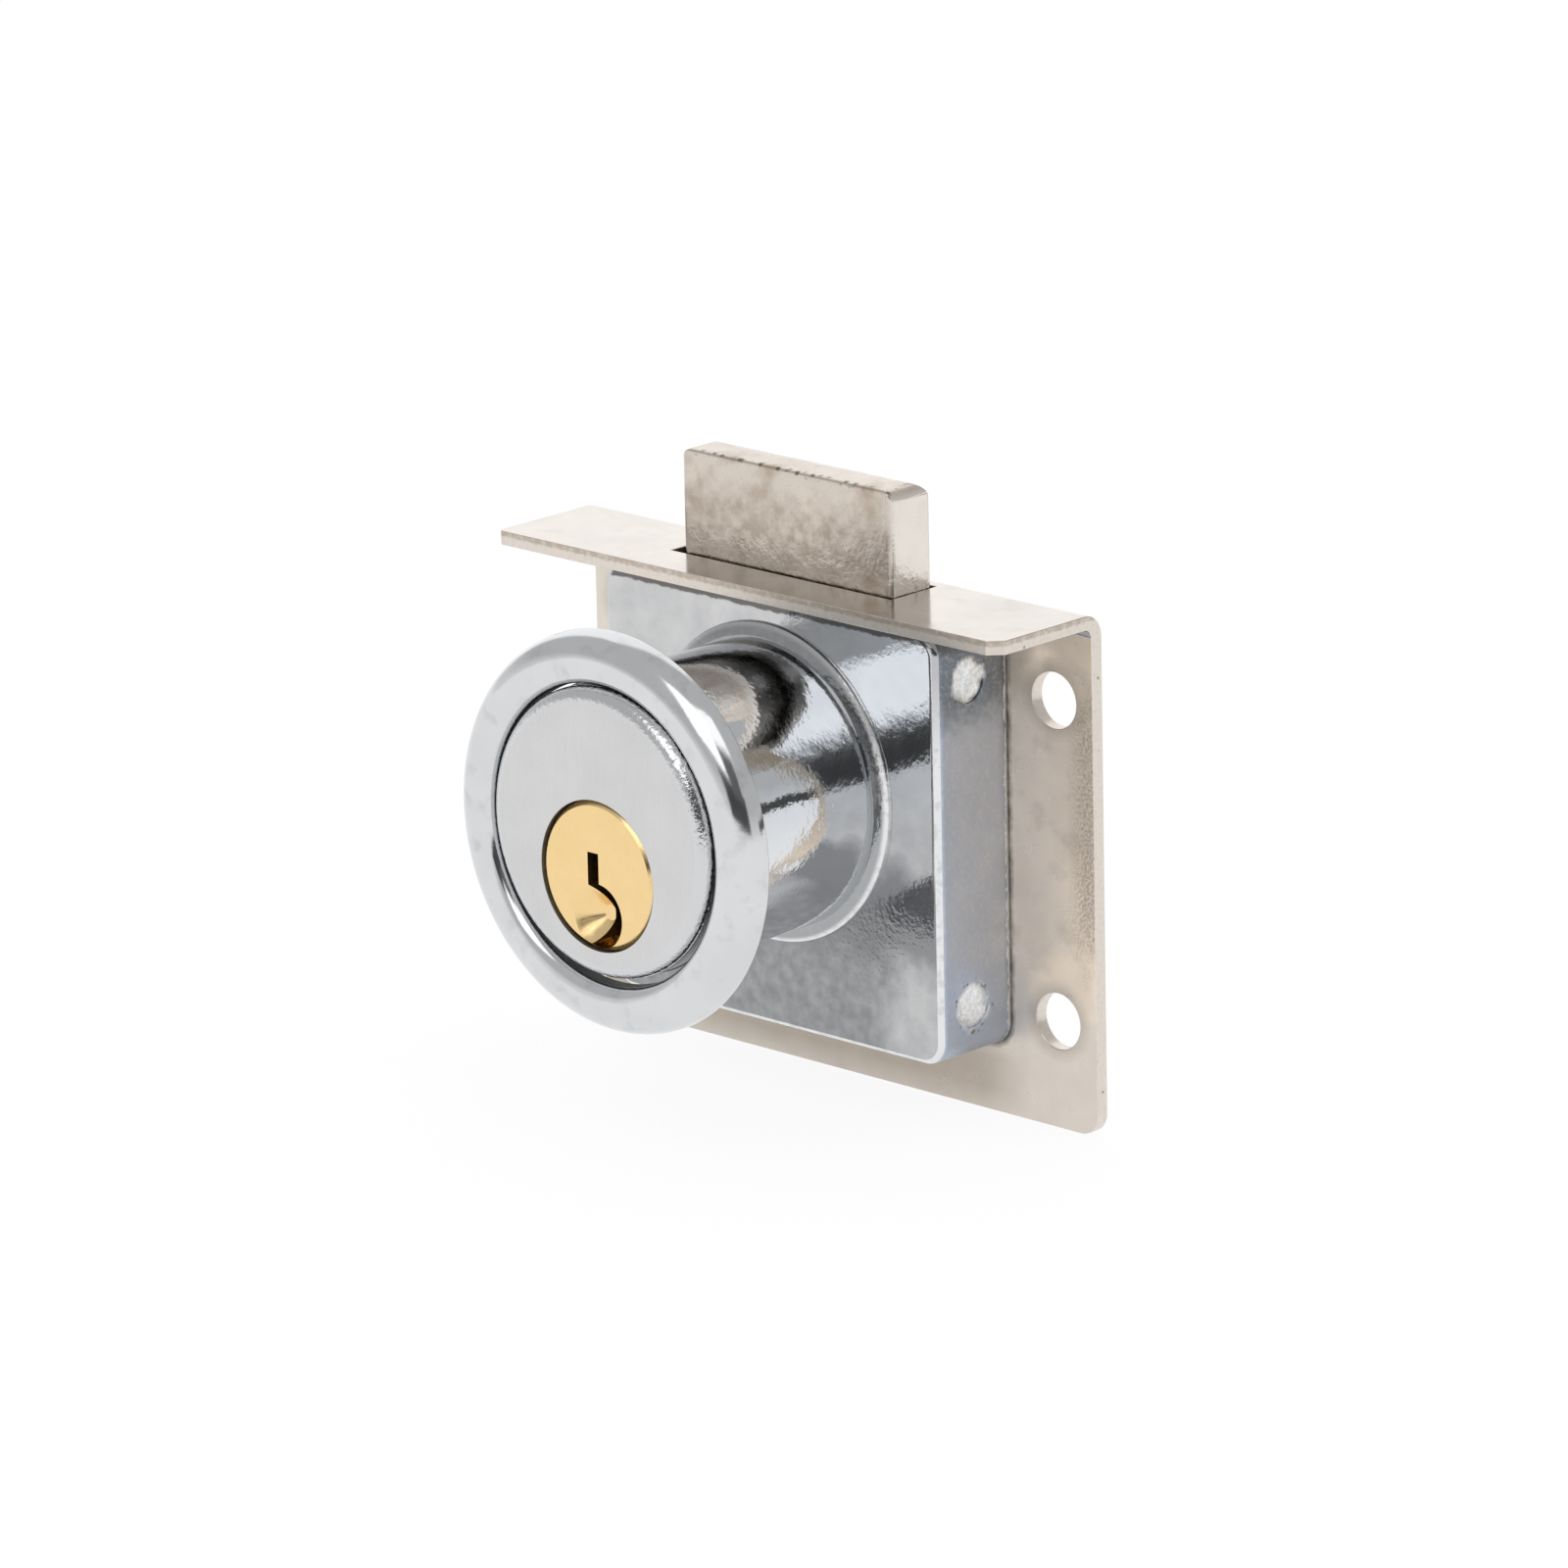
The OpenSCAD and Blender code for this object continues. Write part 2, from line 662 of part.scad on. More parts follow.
// Key pin i, with a rounded-off top and a conical tip that rides on the key
module key_pin(i) {
    tip_h = pin_r * 0.8;
    color(brass)
    translate([0, pin_y(i), key_pin_top - key_pin_len[i - 1]])
    rotate_extrude() polygon([
        [0, 0], [pin_r * 0.35, 0], [pin_r, tip_h],
        [pin_r, key_pin_len[i - 1] - pin_chamfer], [pin_r - pin_chamfer, key_pin_len[i - 1]],
        [0, key_pin_len[i - 1]]
    ]);
}

module driver_pin(i) {
    color(steel)
    translate([0, pin_y(i), driver_bottom])
    rotate_extrude() polygon([
        [0, 0], [pin_r - pin_chamfer, 0], [pin_r, pin_chamfer],
        [pin_r, driver_len - pin_chamfer], [pin_r - pin_chamfer, driver_len], [0, driver_len]
    ]);
}

module pin_spring(i) {
    wire_r = spring_wire / 2;
    color(steel)
    translate([0, pin_y(i), spring_bottom + wire_r])
        coil(pin_r - wire_r, wire_r, spring_turns, spring_top - spring_bottom - spring_wire);
}

// Open ring that slides into the plug's neck from the left
module plug_clip() {
    inner_r = neck_d / 2 + seat_gap;
    color(steel)
    difference() {
        round_bar(clip_r, clip_back, clip_front, 0, plug_z);
        round_bar(inner_r, clip_back + past, clip_front - past, 0, plug_z);
        translate([-clip_r - past, clip_front - past, plug_z - inner_r * 0.85])
            cube([clip_r + past, clip_t + 2 * past, inner_r * 1.7]);
    }
}

module drive_cam() {
    color(steel)
    difference() {
        union() {
            round_bar(cam_hub_r, cam_back, cam_front, 0, plug_z);
            round_bar(drive_pin_r + cam_rim, cam_back, cam_front, crank_x, crank_z);
            translate([0, cam_front, plug_z]) rotate([0, -crank_angle, 0])
                translate([0, 0, -drive_pin_r - cam_rim])
                    cube([crank_r, cam_t, drive_pin_d + 2 * cam_rim]);
        }
        plug_tail(seat_gap);
        round_bar(drive_pin_r + seat_gap, cam_back + past, cam_front - past, crank_x, crank_z);
    }
}

module drive_pin() {
    color(steel) round_bar(drive_pin_r, pin_end, cam_front, crank_x, crank_z);
}

module bolt() {
    bolt_h = bolt_top - bolt_bottom;
    color(nickel)
    translate([bolt_x, (bolt_front + bolt_back) / 2, 0])
    difference() {
        intersection() {
            translate([0, 0, bolt_bottom]) linear_extrude(bolt_h) round_rect(bolt_w, bolt_t, bolt_edge_r);
            translate([0, bolt_t / 2, bolt_bottom]) rotate([90, 0, 0]) linear_extrude(bolt_t)
                top_round_rect(bolt_w, bolt_h, bolt_end_r, bolt_end_r);
            translate([-bolt_w / 2, 0, bolt_bottom]) rotate([90, 0, 90]) linear_extrude(bolt_w)
                top_round_rect(bolt_t, bolt_h, bolt_front_r, bolt_back_r);
        }
        translate([pin_slot_left - bolt_x, -bolt_t, crank_z - pin_slot_h / 2])
            cube([pin_slot_right - pin_slot_left, 2 * bolt_t, pin_slot_h]);
        for (end = [-1, 1])
            leaf_foot(end, seat_gap);
    }
}

// Turned-in foot of the leaf spring, and with a gap the notch for it in the bolt's back
module leaf_foot(end, gap) {
    foot_in = 0.7 + gap;
    translate([leaf_x - leaf_w / 2 - gap, bolt_t / 2 - foot_in,
               leaf_z + end * (leaf_len / 2 - leaf_t / 2) - leaf_t / 2 - gap])
        cube([leaf_w + 2 * gap, foot_in + (gap > 0 ? past : leaf_t / 2), leaf_t + 2 * gap]);
}

module bolt_spring() {
    bow = -bolt_back - leaf_gap - leaf_t;
    bow_r = (leaf_len * leaf_len / 4 + bow * bow) / (2 * bow);
    color(steel)
    translate([bolt_x, (bolt_front + bolt_back) / 2, 0]) {
        translate([leaf_x - leaf_w / 2, 0, leaf_z]) rotate([90, 0, 90]) linear_extrude(leaf_w)
        intersection() {
            translate([bolt_t / 2 + bow - bow_r, 0]) difference() {
                circle(r = bow_r + leaf_t, $fn = 200);
                circle(r = bow_r, $fn = 200);
            }
            translate([bolt_t / 2, -leaf_len / 2]) square([bow + 2 * leaf_t, leaf_len]);
        }
        for (end = [-1, 1])
            leaf_foot(end, 0);
    }
}

mounting_plate();
lock_case();
trim_ring();
pin_housing();
plug();
key_pin(1);  // key_pin_1
key_pin(2);  // key_pin_2
key_pin(3);  // key_pin_3
key_pin(4);  // key_pin_4
key_pin(5);  // key_pin_5
driver_pin(1);  // driver_pin_1
driver_pin(2);  // driver_pin_2
driver_pin(3);  // driver_pin_3
driver_pin(4);  // driver_pin_4
driver_pin(5);  // driver_pin_5
pin_spring(1);  // pin_spring_1
pin_spring(2);  // pin_spring_2
pin_spring(3);  // pin_spring_3
pin_spring(4);  // pin_spring_4
pin_spring(5);  // pin_spring_5
plug_clip();
drive_cam();
drive_pin();
bolt();
bolt_spring();
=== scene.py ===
import math

import bmesh
import bpy
from mathutils import Matrix, Vector


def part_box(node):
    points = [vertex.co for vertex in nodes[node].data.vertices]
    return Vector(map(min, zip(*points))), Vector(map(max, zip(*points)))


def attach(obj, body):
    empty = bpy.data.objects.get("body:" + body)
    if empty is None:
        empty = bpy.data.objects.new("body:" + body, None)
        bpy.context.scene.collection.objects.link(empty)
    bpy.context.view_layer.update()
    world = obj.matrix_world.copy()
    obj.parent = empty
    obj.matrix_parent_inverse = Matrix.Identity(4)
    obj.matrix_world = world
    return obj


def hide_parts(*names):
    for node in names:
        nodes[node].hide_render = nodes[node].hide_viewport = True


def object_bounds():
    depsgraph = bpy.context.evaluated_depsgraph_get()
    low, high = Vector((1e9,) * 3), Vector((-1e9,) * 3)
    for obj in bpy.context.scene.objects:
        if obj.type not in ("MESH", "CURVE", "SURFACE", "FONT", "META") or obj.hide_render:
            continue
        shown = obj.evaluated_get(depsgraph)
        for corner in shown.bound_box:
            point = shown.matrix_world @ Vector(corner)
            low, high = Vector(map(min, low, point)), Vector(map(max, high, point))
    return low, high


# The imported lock, in metres: X to the right as seen from the front, Y to the back and Z up.
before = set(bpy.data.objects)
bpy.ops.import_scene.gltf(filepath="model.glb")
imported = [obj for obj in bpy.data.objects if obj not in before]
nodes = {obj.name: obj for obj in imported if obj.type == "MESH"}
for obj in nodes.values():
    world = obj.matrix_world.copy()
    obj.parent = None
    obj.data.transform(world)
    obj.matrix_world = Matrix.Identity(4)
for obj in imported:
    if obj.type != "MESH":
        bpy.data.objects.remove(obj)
cad_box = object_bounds()
scene = bpy.context.scene
MM = 0.001

# The camera stands to the right of the lock and a little above it, far off behind a long lens,
# as the photograph was taken. It is tilted by about a degree.
camera_azimuth = math.radians(44.097)
camera_elevation = math.radians(16.098)
camera_roll = math.radians(-1.239)
camera_place = Vector((505.219, -527.557, 212.841)) * MM
camera = bpy.data.objects.new("camera", bpy.data.cameras.new("camera"))
scene.collection.objects.link(camera)
camera_turn = (
    Matrix.Rotation(camera_azimuth, 4, "Z")
    @ Matrix.Rotation(math.pi / 2 - camera_elevation, 4, "X")
    @ Matrix.Rotation(camera_roll, 4, "Z")
)
camera.matrix_world = Matrix.Translation(camera_place) @ camera_turn
camera.data.sensor_width = 36
camera.data.lens = 233.223
camera.data.clip_start = 10 * MM
scene.camera = camera

# The case and its barrel are one zinc die casting: a shallow box with rounded edges, and a barrel
# with a collar at its foot, a stepped seat for the trim ring and a rounded front disc. It is bright
# chromed, and its open back is closed by the mounting plate.
case_low, case_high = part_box("lock_case")
case_front = -7.6 * MM
case_corner = 2 * MM
case_edge = 0.7 * MM
case_wall = 1.6 * MM
barrel_axis = 3.85 * MM
barrel_radius = 11.1 * MM
seat_radius = 11 * MM
seat_length = 3.2 * MM
collar_radius = 12.25 * MM
collar_height = 0.8 * MM
collar_foot = 0.12 * MM
collar_rim = 0.1 * MM
collar_seam = 0.12 * MM
disc_edge = 1.1 * MM
bore_radius = 9.6 * MM
disc_face = case_low.y
plug_axis = 0.7 * MM
plug_bore = 5.75 * MM
crank_room = 7.5 * MM


def new_piece(name, bm):
    mesh = bpy.data.meshes.new(name)
    bm.to_mesh(mesh)
    bm.free()
    piece = bpy.data.objects.new(name, mesh)
    scene.collection.objects.link(piece)
    return piece


def applied(piece):
    """Turns the piece with its modifiers into a plain mesh."""
    graph = bpy.context.evaluated_depsgraph_get()
    mesh = bpy.data.meshes.new_from_object(piece.evaluated_get(graph))
    piece.modifiers.clear()
    piece.data = mesh


def joined(piece, tool, operation="UNION"):
    """Adds the tool to the piece, or cuts it away, and deletes the tool."""
    step = piece.modifiers.new("joined", "BOOLEAN")
    step.operation = operation
    step.solver = "EXACT"
    step.object = tool
    applied(piece)
    bpy.data.objects.remove(tool)


def arc(centre, radius, start, end, steps):
    """Points on an arc, from one angle in degrees to another."""
    turns = [math.radians(start + (end - start) * i / steps) for i in range(steps + 1)]
    return [(centre[0] + radius * math.cos(t), centre[1] + radius * math.sin(t)) for t in turns]


def block(low, high):
    bm = bmesh.new()
    bmesh.ops.create_cube(bm, size=1)
    for v in bm.verts:
        v.co = Vector(low[i] if v.co[i] < 0 else high[i] for i in range(3))
    return new_piece("block", bm)


def wired(tree, kind, settings=None, values=None, links=None):
    """Adds a node to a tree, with its settings, its sockets' values and what feeds them."""
    node = tree.nodes.new(kind)
    for key, value in (settings or {}).items():
        setattr(node, key, value)
    for key, value in (values or {}).items():
        node.inputs[key].default_value = value
    for key, source in (links or {}).items():
        tree.links.new(source, node.inputs[key])
    return node


def empty_tree(name, sizes):
    """Geometry tree with a geometry input, the named inputs for its sizes, and its finish."""
    tree = bpy.data.node_groups.new(name, "GeometryNodeTree")
    tree.is_modifier = True
    tree.interface.new_socket("Section", in_out="INPUT", socket_type="NodeSocketGeometry")
    for label, kind in sizes.items():
        tree.interface.new_socket(label, in_out="INPUT", socket_type=kind)
    tree.interface.new_socket("Finish", in_out="INPUT", socket_type="NodeSocketMaterial")
    tree.interface.new_socket("Piece", in_out="OUTPUT", socket_type="NodeSocketGeometry")
    return tree


def closing(tree, start, shape):
    """Ends the tree as one plain mesh that carries its finish."""
    solid = wired(tree, "GeometryNodeRealizeInstances", links={0: shape})
    finish = wired(tree, "GeometryNodeSetMaterial",
                   links={"Geometry": solid.outputs[0], "Material": start.outputs["Finish"]})
    wired(tree, "NodeGroupOutput", links={0: finish.outputs[0]})


weld = 0.0001 * MM


def shaped(piece, tree, sizes):
    """Runs a geometry tree on the piece with the given sizes, and keeps the result as its mesh."""
    step = piece.modifiers.new("shape", "NODES")
    step.node_group = tree
    for socket in tree.interface.items_tree:
        if socket.in_out == "INPUT" and socket.name in sizes:
            step[socket.identifier] = sizes[socket.name]
    applied(piece)
    bm = bmesh.new()
    bm.from_mesh(piece.data)
    bmesh.ops.remove_doubles(bm, verts=bm.verts, dist=weld)
    bmesh.ops.recalc_face_normals(bm, faces=bm.faces)
    bm.to_mesh(piece.data)
    bm.free()


# Turning: the piece's own mesh is half a section, as distances from the sweep radius and along the
# barrel, and the tree carries it round the axis.
turning = empty_tree("turning", {"Sweep Radius": "NodeSocketFloat", "Axis Height": "NodeSocketFloat",
                                 "Sides": "NodeSocketInt"})
start = wired(turning, "NodeGroupInput")
section = wired(turning, "GeometryNodeMeshToCurve", links={0: start.outputs["Section"]})
circle = wired(turning, "GeometryNodeCurvePrimitiveCircle",
               links={"Resolution": start.outputs["Sides"], "Radius": start.outputs["Sweep Radius"]})
upright = wired(turning, "GeometryNodeSetCurveNormal", {"mode": "Z_UP"}, links={0: circle.outputs[0]})
swept = wired(turning, "GeometryNodeCurveToMesh", links={0: upright.outputs[0], 1: section.outputs[0]})
height = wired(turning, "ShaderNodeCombineXYZ", links={"Z": start.outputs["Axis Height"]})
placed = wired(turning, "GeometryNodeTransform", values={"Rotation": (math.pi / 2, 0, 0)},
               links={"Geometry": swept.outputs[0], "Translation": height.outputs[0]})
merged = wired(turning, "GeometryNodeMergeByDistance", values={"Distance": weld},
               links={0: placed.outputs[0]})
closing(turning, start, merged.outputs[0])


def turned(name, profile, axis_height, sides, finish, closed=False):
    """Round piece about the barrel's direction, from (radius, y) points."""
    sweep = 20 * MM
    bm = bmesh.new()
    points = [bm.verts.new((radius - sweep, y, 0)) for radius, y in profile]
    for a, b in zip(points, points[1:]):
        bm.edges.new((a, b))
    if closed:
        bm.edges.new((points[-1], points[0]))
    piece = new_piece(name, bm)
    shaped(piece, turning, {"Sweep Radius": sweep, "Axis Height": axis_height, "Sides": sides,
                            "Finish": finish})
    return piece


def metal(name, colour, roughness):
    """Bare metal finish, with its tree and the shader that the marks of its making are led to."""
    finish = bpy.data.materials.new(name)
    finish.use_nodes = True
    shader = finish.node_tree.nodes["Principled BSDF"]
    shader.inputs["Base Color"].default_value = (*colour, 1)
    shader.inputs["Metallic"].default_value = 1
    shader.inputs["Roughness"].default_value = roughness
    return finish, finish.node_tree, shader


def place(tree):
    return wired(tree, "ShaderNodeTexCoord").outputs["Object"]


def along(tree, axis):
    """Distance in millimetres along one axis of the lock."""
    split = wired(tree, "ShaderNodeSeparateXYZ", links={0: place(tree)})
    scaled = wired(tree, "ShaderNodeMath", {"operation": "MULTIPLY"}, {1: 1000}, {0: split.outputs[axis]})
    return scaled.outputs[0]


def grain(tree, size, detail=2, stretch=(1, 1, 1), turn=(0, 0, 0)):
    """Cloudy pattern from 0 to 1, with spots about size millimetres across."""
    mapped = wired(tree, "ShaderNodeMapping", values={"Scale": stretch, "Rotation": turn},
                   links={"Vector": place(tree)})
    noise = wired(tree, "ShaderNodeTexNoise", values={"Scale": 1 / (size * MM), "Detail": detail},
                  links={"Vector": mapped.outputs[0]})
    return noise.outputs[0]


def ranged(tree, value, start, end, low=0.0, high=1.0):
    """Carries a value from one range to another, and stops it at the ends."""
    node = wired(tree, "ShaderNodeMapRange", {"clamp": True},
                 {"From Min": start, "From Max": end, "To Min": low, "To Max": high}, {"Value": value})
    return node.outputs["Result"]


def combined(tree, operation, a, b):
    node = wired(tree, "ShaderNodeMath", {"operation": operation})
    for socket, value in ((node.inputs[0], a), (node.inputs[1], b)):
        if isinstance(value, (int, float)):
            socket.default_value = value
        else:
            tree.links.new(value, socket)
    return node.outputs[0]


def times(tree, a, b):
    return combined(tree, "MULTIPLY", a, b)


def unsigned(tree, value):
    return combined(tree, "ABSOLUTE", value, 0)


def pushed(tree, distance, pattern, reach):
    """Distance that a pattern pushes about, up to the reach, so that a border on it runs unevenly."""
    return combined(tree, "ADD", distance, times(tree, pattern, reach))


def spanned(tree, a, b):
    """Straight distance over two distances that are at right angles."""
    return combined(tree, "SQRT", combined(tree, "ADD", times(tree, a, a), times(tree, b, b)), 0)


def tinted(tree, amount, under, over):
    """Goes from one colour to another by the amount. A colour is three numbers or a socket."""
    node = wired(tree, "ShaderNodeMix", {"data_type": "RGBA"}, links={0: amount})
    for socket, value in ((node.inputs[6], under), (node.inputs[7], over)):
        if isinstance(value, tuple):
            socket.default_value = (*value, 1)
        else:
            tree.links.new(value, socket)
    return node.outputs[2]


def raised(tree, height, depth, under=None):
    """Relief of the given depth in millimetres, on top of another one."""
    node = wired(tree, "ShaderNodeBump", values={"Distance": depth * MM}, links={"Height": height})
    if under:
        tree.links.new(under, node.inputs["Normal"])
    return node.outputs[0]


def pits(tree, size, spacing, share):
    """Small round spots in places: 1 in a spot and 0 between them."""
    cells = wired(tree, "ShaderNodeTexVoronoi", values={"Scale": 1 / (spacing * MM)},
                  links={"Vector": place(tree)})
    spot = ranged(tree, cells.outputs["Distance"], size / spacing, 0.4 * size / spacing)
    kept = ranged(tree, cells.outputs["Color"], 1 - share - 0.02, 1 - share)
    return times(tree, spot, kept)


# The chrome on the casting mirrors like water: it ripples over the metal below. Painted shade darkens the
# case's front, all but a brighter upper right corner, and a painted dark reflection lies as a band across
# it. Its lower half has the die's fine grain in relief and roughness, with painted shade in its colour, and
# a painted shadow lies under the flange. Here and below, a pair gives in millimetres where such a mark
# starts and where it is full.
front_mm = case_front / MM
disc_mm = disc_face / MM
collar_mm = (case_front - collar_height) / MM
grain_and_shade_top = (0, -7)
grain_and_shade_side = (18, 14)
band_top = (3, 0.5)
band_foot = (-6.5, -4)
highlit_side = (10, 14)
highlit_foot = (4, 7)
flange_shadow_foot = (17.2, 17.35)
pale_top = (6, 2)
pale_foot = (-6, -4)
bright_chrome, tree, shader = metal("rippled_chrome", (0.66, 0.67, 0.68), 0.06)
height_mm = along(tree, "Z")
depth_mm = along(tree, "Y")
on_front = ranged(tree, depth_mm, front_mm - 0.6, front_mm - 0.3)
low_front = times(tree, on_front, ranged(tree, height_mm, *grain_and_shade_top))
cloud = grain(tree, 6, 3)
right_mm = pushed(tree, along(tree, "X"), cloud, 8)
low_front = times(tree, low_front, ranged(tree, right_mm, *grain_and_shade_side, 0.25, 1))
uneven_mm = pushed(tree, height_mm, grain(tree, 3, 3), 5)
# A painted dark reflection lies as a band across the case's front.
dark_band_shade = times(tree, ranged(tree, uneven_mm, *band_top), ranged(tree, uneven_mm, *band_foot))
dark_band_shade = times(tree, dark_band_shade, on_front)
on_disc_edge = ranged(tree, depth_mm, disc_mm + 1.3, disc_mm + 1)
fine = grain(tree, 0.34, 3)
colour = tinted(tree, cloud, (0.60, 0.61, 0.625), (0.69, 0.70, 0.71))
# Painted shade darkens the case's front, all but its upper right corner, which is left brighter as a painted
# highlight.
highlit_corner = times(tree, ranged(tree, right_mm, *highlit_side), ranged(tree, height_mm, *highlit_foot))
shaded_front = times(tree, on_front, combined(tree, "SUBTRACT", 1, highlit_corner))
front_cloud = ranged(tree, grain(tree, 2.2, 5), 0.35, 0.65)
shaded_front_tone = tinted(tree, front_cloud, (0.51, 0.512, 0.52), (0.61, 0.61, 0.612))
colour = tinted(tree, times(tree, shaded_front, 0.85), colour, shaded_front_tone)
# The die's grain on the lower half is real in roughness and relief; its dark colour is painted shade, a
# darker reflection painted in.
low_cloud = ranged(tree, grain(tree, 1.1, 5), 0.35, 0.65)
low_tone = tinted(tree, low_cloud, (0.235, 0.24, 0.25), (0.335, 0.34, 0.35))
colour = tinted(tree, times(tree, low_front, 0.9), colour, low_tone)
# A painted shadow just under the flange's edge, on the case's front.
flange_shadow_mm = pushed(tree, height_mm, grain(tree, 1, 3), 0.5)
flange_shadow = times(tree, ranged(tree, flange_shadow_mm, *flange_shadow_foot), on_front)
colour = tinted(tree, times(tree, flange_shadow, 0.85), colour, (0.08, 0.075, 0.07))
front_pits = times(tree, on_front, pits(tree, 0.12, 1.1, 0.25))
colour = tinted(tree, front_pits, colour, (0.2, 0.2, 0.2))
colour = tinted(tree, times(tree, dark_band_shade, 0.9), colour, (0.25, 0.255, 0.265))
barrel_tone = tinted(tree, grain(tree, 1.8, 5), (0.58, 0.61, 0.65), (0.69, 0.715, 0.745))
# A pale band round the barrel's middle height is a painted reflection.
pale_half = times(tree, ranged(tree, height_mm, *pale_top), ranged(tree, height_mm, *pale_foot))
barrel_tone = tinted(tree, times(tree, pale_half, 0.7), barrel_tone, (0.82, 0.83, 0.84))
on_barrel = ranged(tree, depth_mm, collar_mm + 0.1, collar_mm - 0.1, 0, 0.85)
on_barrel = times(tree, on_barrel, ranged(tree, depth_mm, disc_mm + 1.4, disc_mm + 1.8))
colour = tinted(tree, on_barrel, colour, barrel_tone)
tree.links.new(colour, shader.inputs["Base Color"])
rough = ranged(tree, grain(tree, 2.5, 3), 0.35, 0.7, 0.03, 0.10)
rough = combined(tree, "ADD", rough, times(tree, low_front, 0.14))
tree.links.new(rough, shader.inputs["Roughness"])
wave = raised(tree, grain(tree, 2.6, 1), 0.03)
ripple = raised(tree, grain(tree, 0.8, 2), 0.014, wave)
speckle = times(tree, fine, combined(tree, "MAXIMUM", low_front, on_disc_edge))
relief = raised(tree, speckle, 0.05, ripple)
tree.links.new(raised(tree, fine, 0.009, relief), shader.inputs["Normal"])

# The case's front edge and the collar's rim are painted lighter than the chrome round them, a painted
# highlight, so they shine the most. Painted shade darkens them high up on the case and on the inner half of
# the rim, and a grey mottle lies over them.
edge_shade_foot = (8, 15)
edge_highlight_chrome, tree, shader = metal("edge_highlight_chrome", (0.75, 0.76, 0.77), 0.12)
mottle = grain(tree, 0.7, 3)
shaded_high_edge = ranged(tree, along(tree, "Z"), *edge_shade_foot)
edge_shine = tinted(tree, shaded_high_edge, (0.78, 0.79, 0.80), (0.5, 0.51, 0.53))
shaded_inner_rim = ranged(tree, along(tree, "Y"), front_mm - 0.35, front_mm - 0.5, 0, 0.85)
edge_shine = tinted(tree, shaded_inner_rim, edge_shine, (0.32, 0.33, 0.34))
edge_shine = tinted(tree, ranged(tree, mottle, 0.5, 0.65, 0, 0.35), edge_shine, (0.45, 0.46, 0.47))
tree.links.new(edge_shine, shader.inputs["Base Color"])
tree.links.new(ranged(tree, mottle, 0.3, 0.7, 0.06, 0.2), shader.inputs["Roughness"])
tree.links.new(raised(tree, grain(tree, 0.5, 3), 0.03), shader.inputs["Normal"])

# The disc's face was brushed before it was plated, so it is satin, with fine upright lines. So are
# the ends of the four posts behind the plate.
satin_chrome, tree, shader = metal("satin_chrome", (0.67, 0.67, 0.67), 0.27)
lines = grain(tree, 0.12, 3, (1, 1, 0.04), (0, 0.25, 0))
tree.links.new(tinted(tree, grain(tree, 3, 4), (0.61, 0.61, 0.615), (0.69, 0.69, 0.69)),
               shader.inputs["Base Color"])
tree.links.new(ranged(tree, lines, 0.3, 0.7, 0.2, 0.32), shader.inputs["Roughness"])
brushed = raised(tree, lines, 0.0008)
tree.links.new(raised(tree, grain(tree, 1.4, 2), 0.008, brushed), shader.inputs["Normal"])

# The side walls came from the die with a dull grain, which the thin chrome there doesn't hide. Painted shade
# makes them darkest up under the flange. A thin flash runs along the plate, a raised ridge with a painted
# highlight in its colour. The die's ejector pins left four round spots on them, crumpled, with a painted
# highlight in their colour and dark pits around them.
post_spacing = 24.8 * MM
mark_radius = 1.7 * MM
mark_out = 4.2 * MM
case_middle = (case_low.z + case_high.z) / 2
mark_mm = mark_radius / MM
flange_shade_foot = (11.5, 14)
dull_chrome, tree, shader = metal("dull_cast_chrome", (0.53, 0.565, 0.63), 0.45)
from_middle_mm = unsigned(tree, combined(tree, "SUBTRACT", along(tree, "Z"), case_middle / MM))
up_mm = combined(tree, "SUBTRACT", from_middle_mm, post_spacing / 2 / MM)
depth_mm = along(tree, "Y")
back_mm = combined(tree, "ADD", depth_mm, mark_out / MM)
reach_mm = pushed(tree, spanned(tree, up_mm, back_mm), grain(tree, 1.1, 4), 1.9)
in_mark = ranged(tree, reach_mm, mark_mm + 1.15, mark_mm + 0.55)
by_mark = ranged(tree, reach_mm, mark_mm + 1.7, mark_mm + 1.2)
cloud = grain(tree, 4, 4)
crumpled = grain(tree, 0.6, 3)
colour = tinted(tree, cloud, (0.40, 0.455, 0.555), (0.50, 0.555, 0.66))
# Painted shade darkens the walls up under the flange.
uneven_mm = pushed(tree, along(tree, "Z"), crumpled, 3)
colour = tinted(tree, ranged(tree, uneven_mm, *flange_shade_foot, 0, 0.85), colour, (0.17, 0.20, 0.23))
pale_grain = ranged(tree, grain(tree, 0.3, 3), 0.5, 0.75, 0, 0.35)
colour = tinted(tree, pale_grain, colour, (0.66, 0.69, 0.74))
dark_pits = times(tree, by_mark, pits(tree, 0.2, 0.45, 0.5))
colour = tinted(tree, dark_pits, colour, (0.16, 0.17, 0.18))
# The marks' near-white colour is a painted highlight; their crumpled relief and lower roughness are real.
creases = ranged(tree, grain(tree, 0.35, 3), 0.4, 0.6)
mark_highlight_tone = tinted(tree, creases, (0.74, 0.77, 0.80), (0.92, 0.94, 0.96))
colour = tinted(tree, in_mark, colour, mark_highlight_tone)
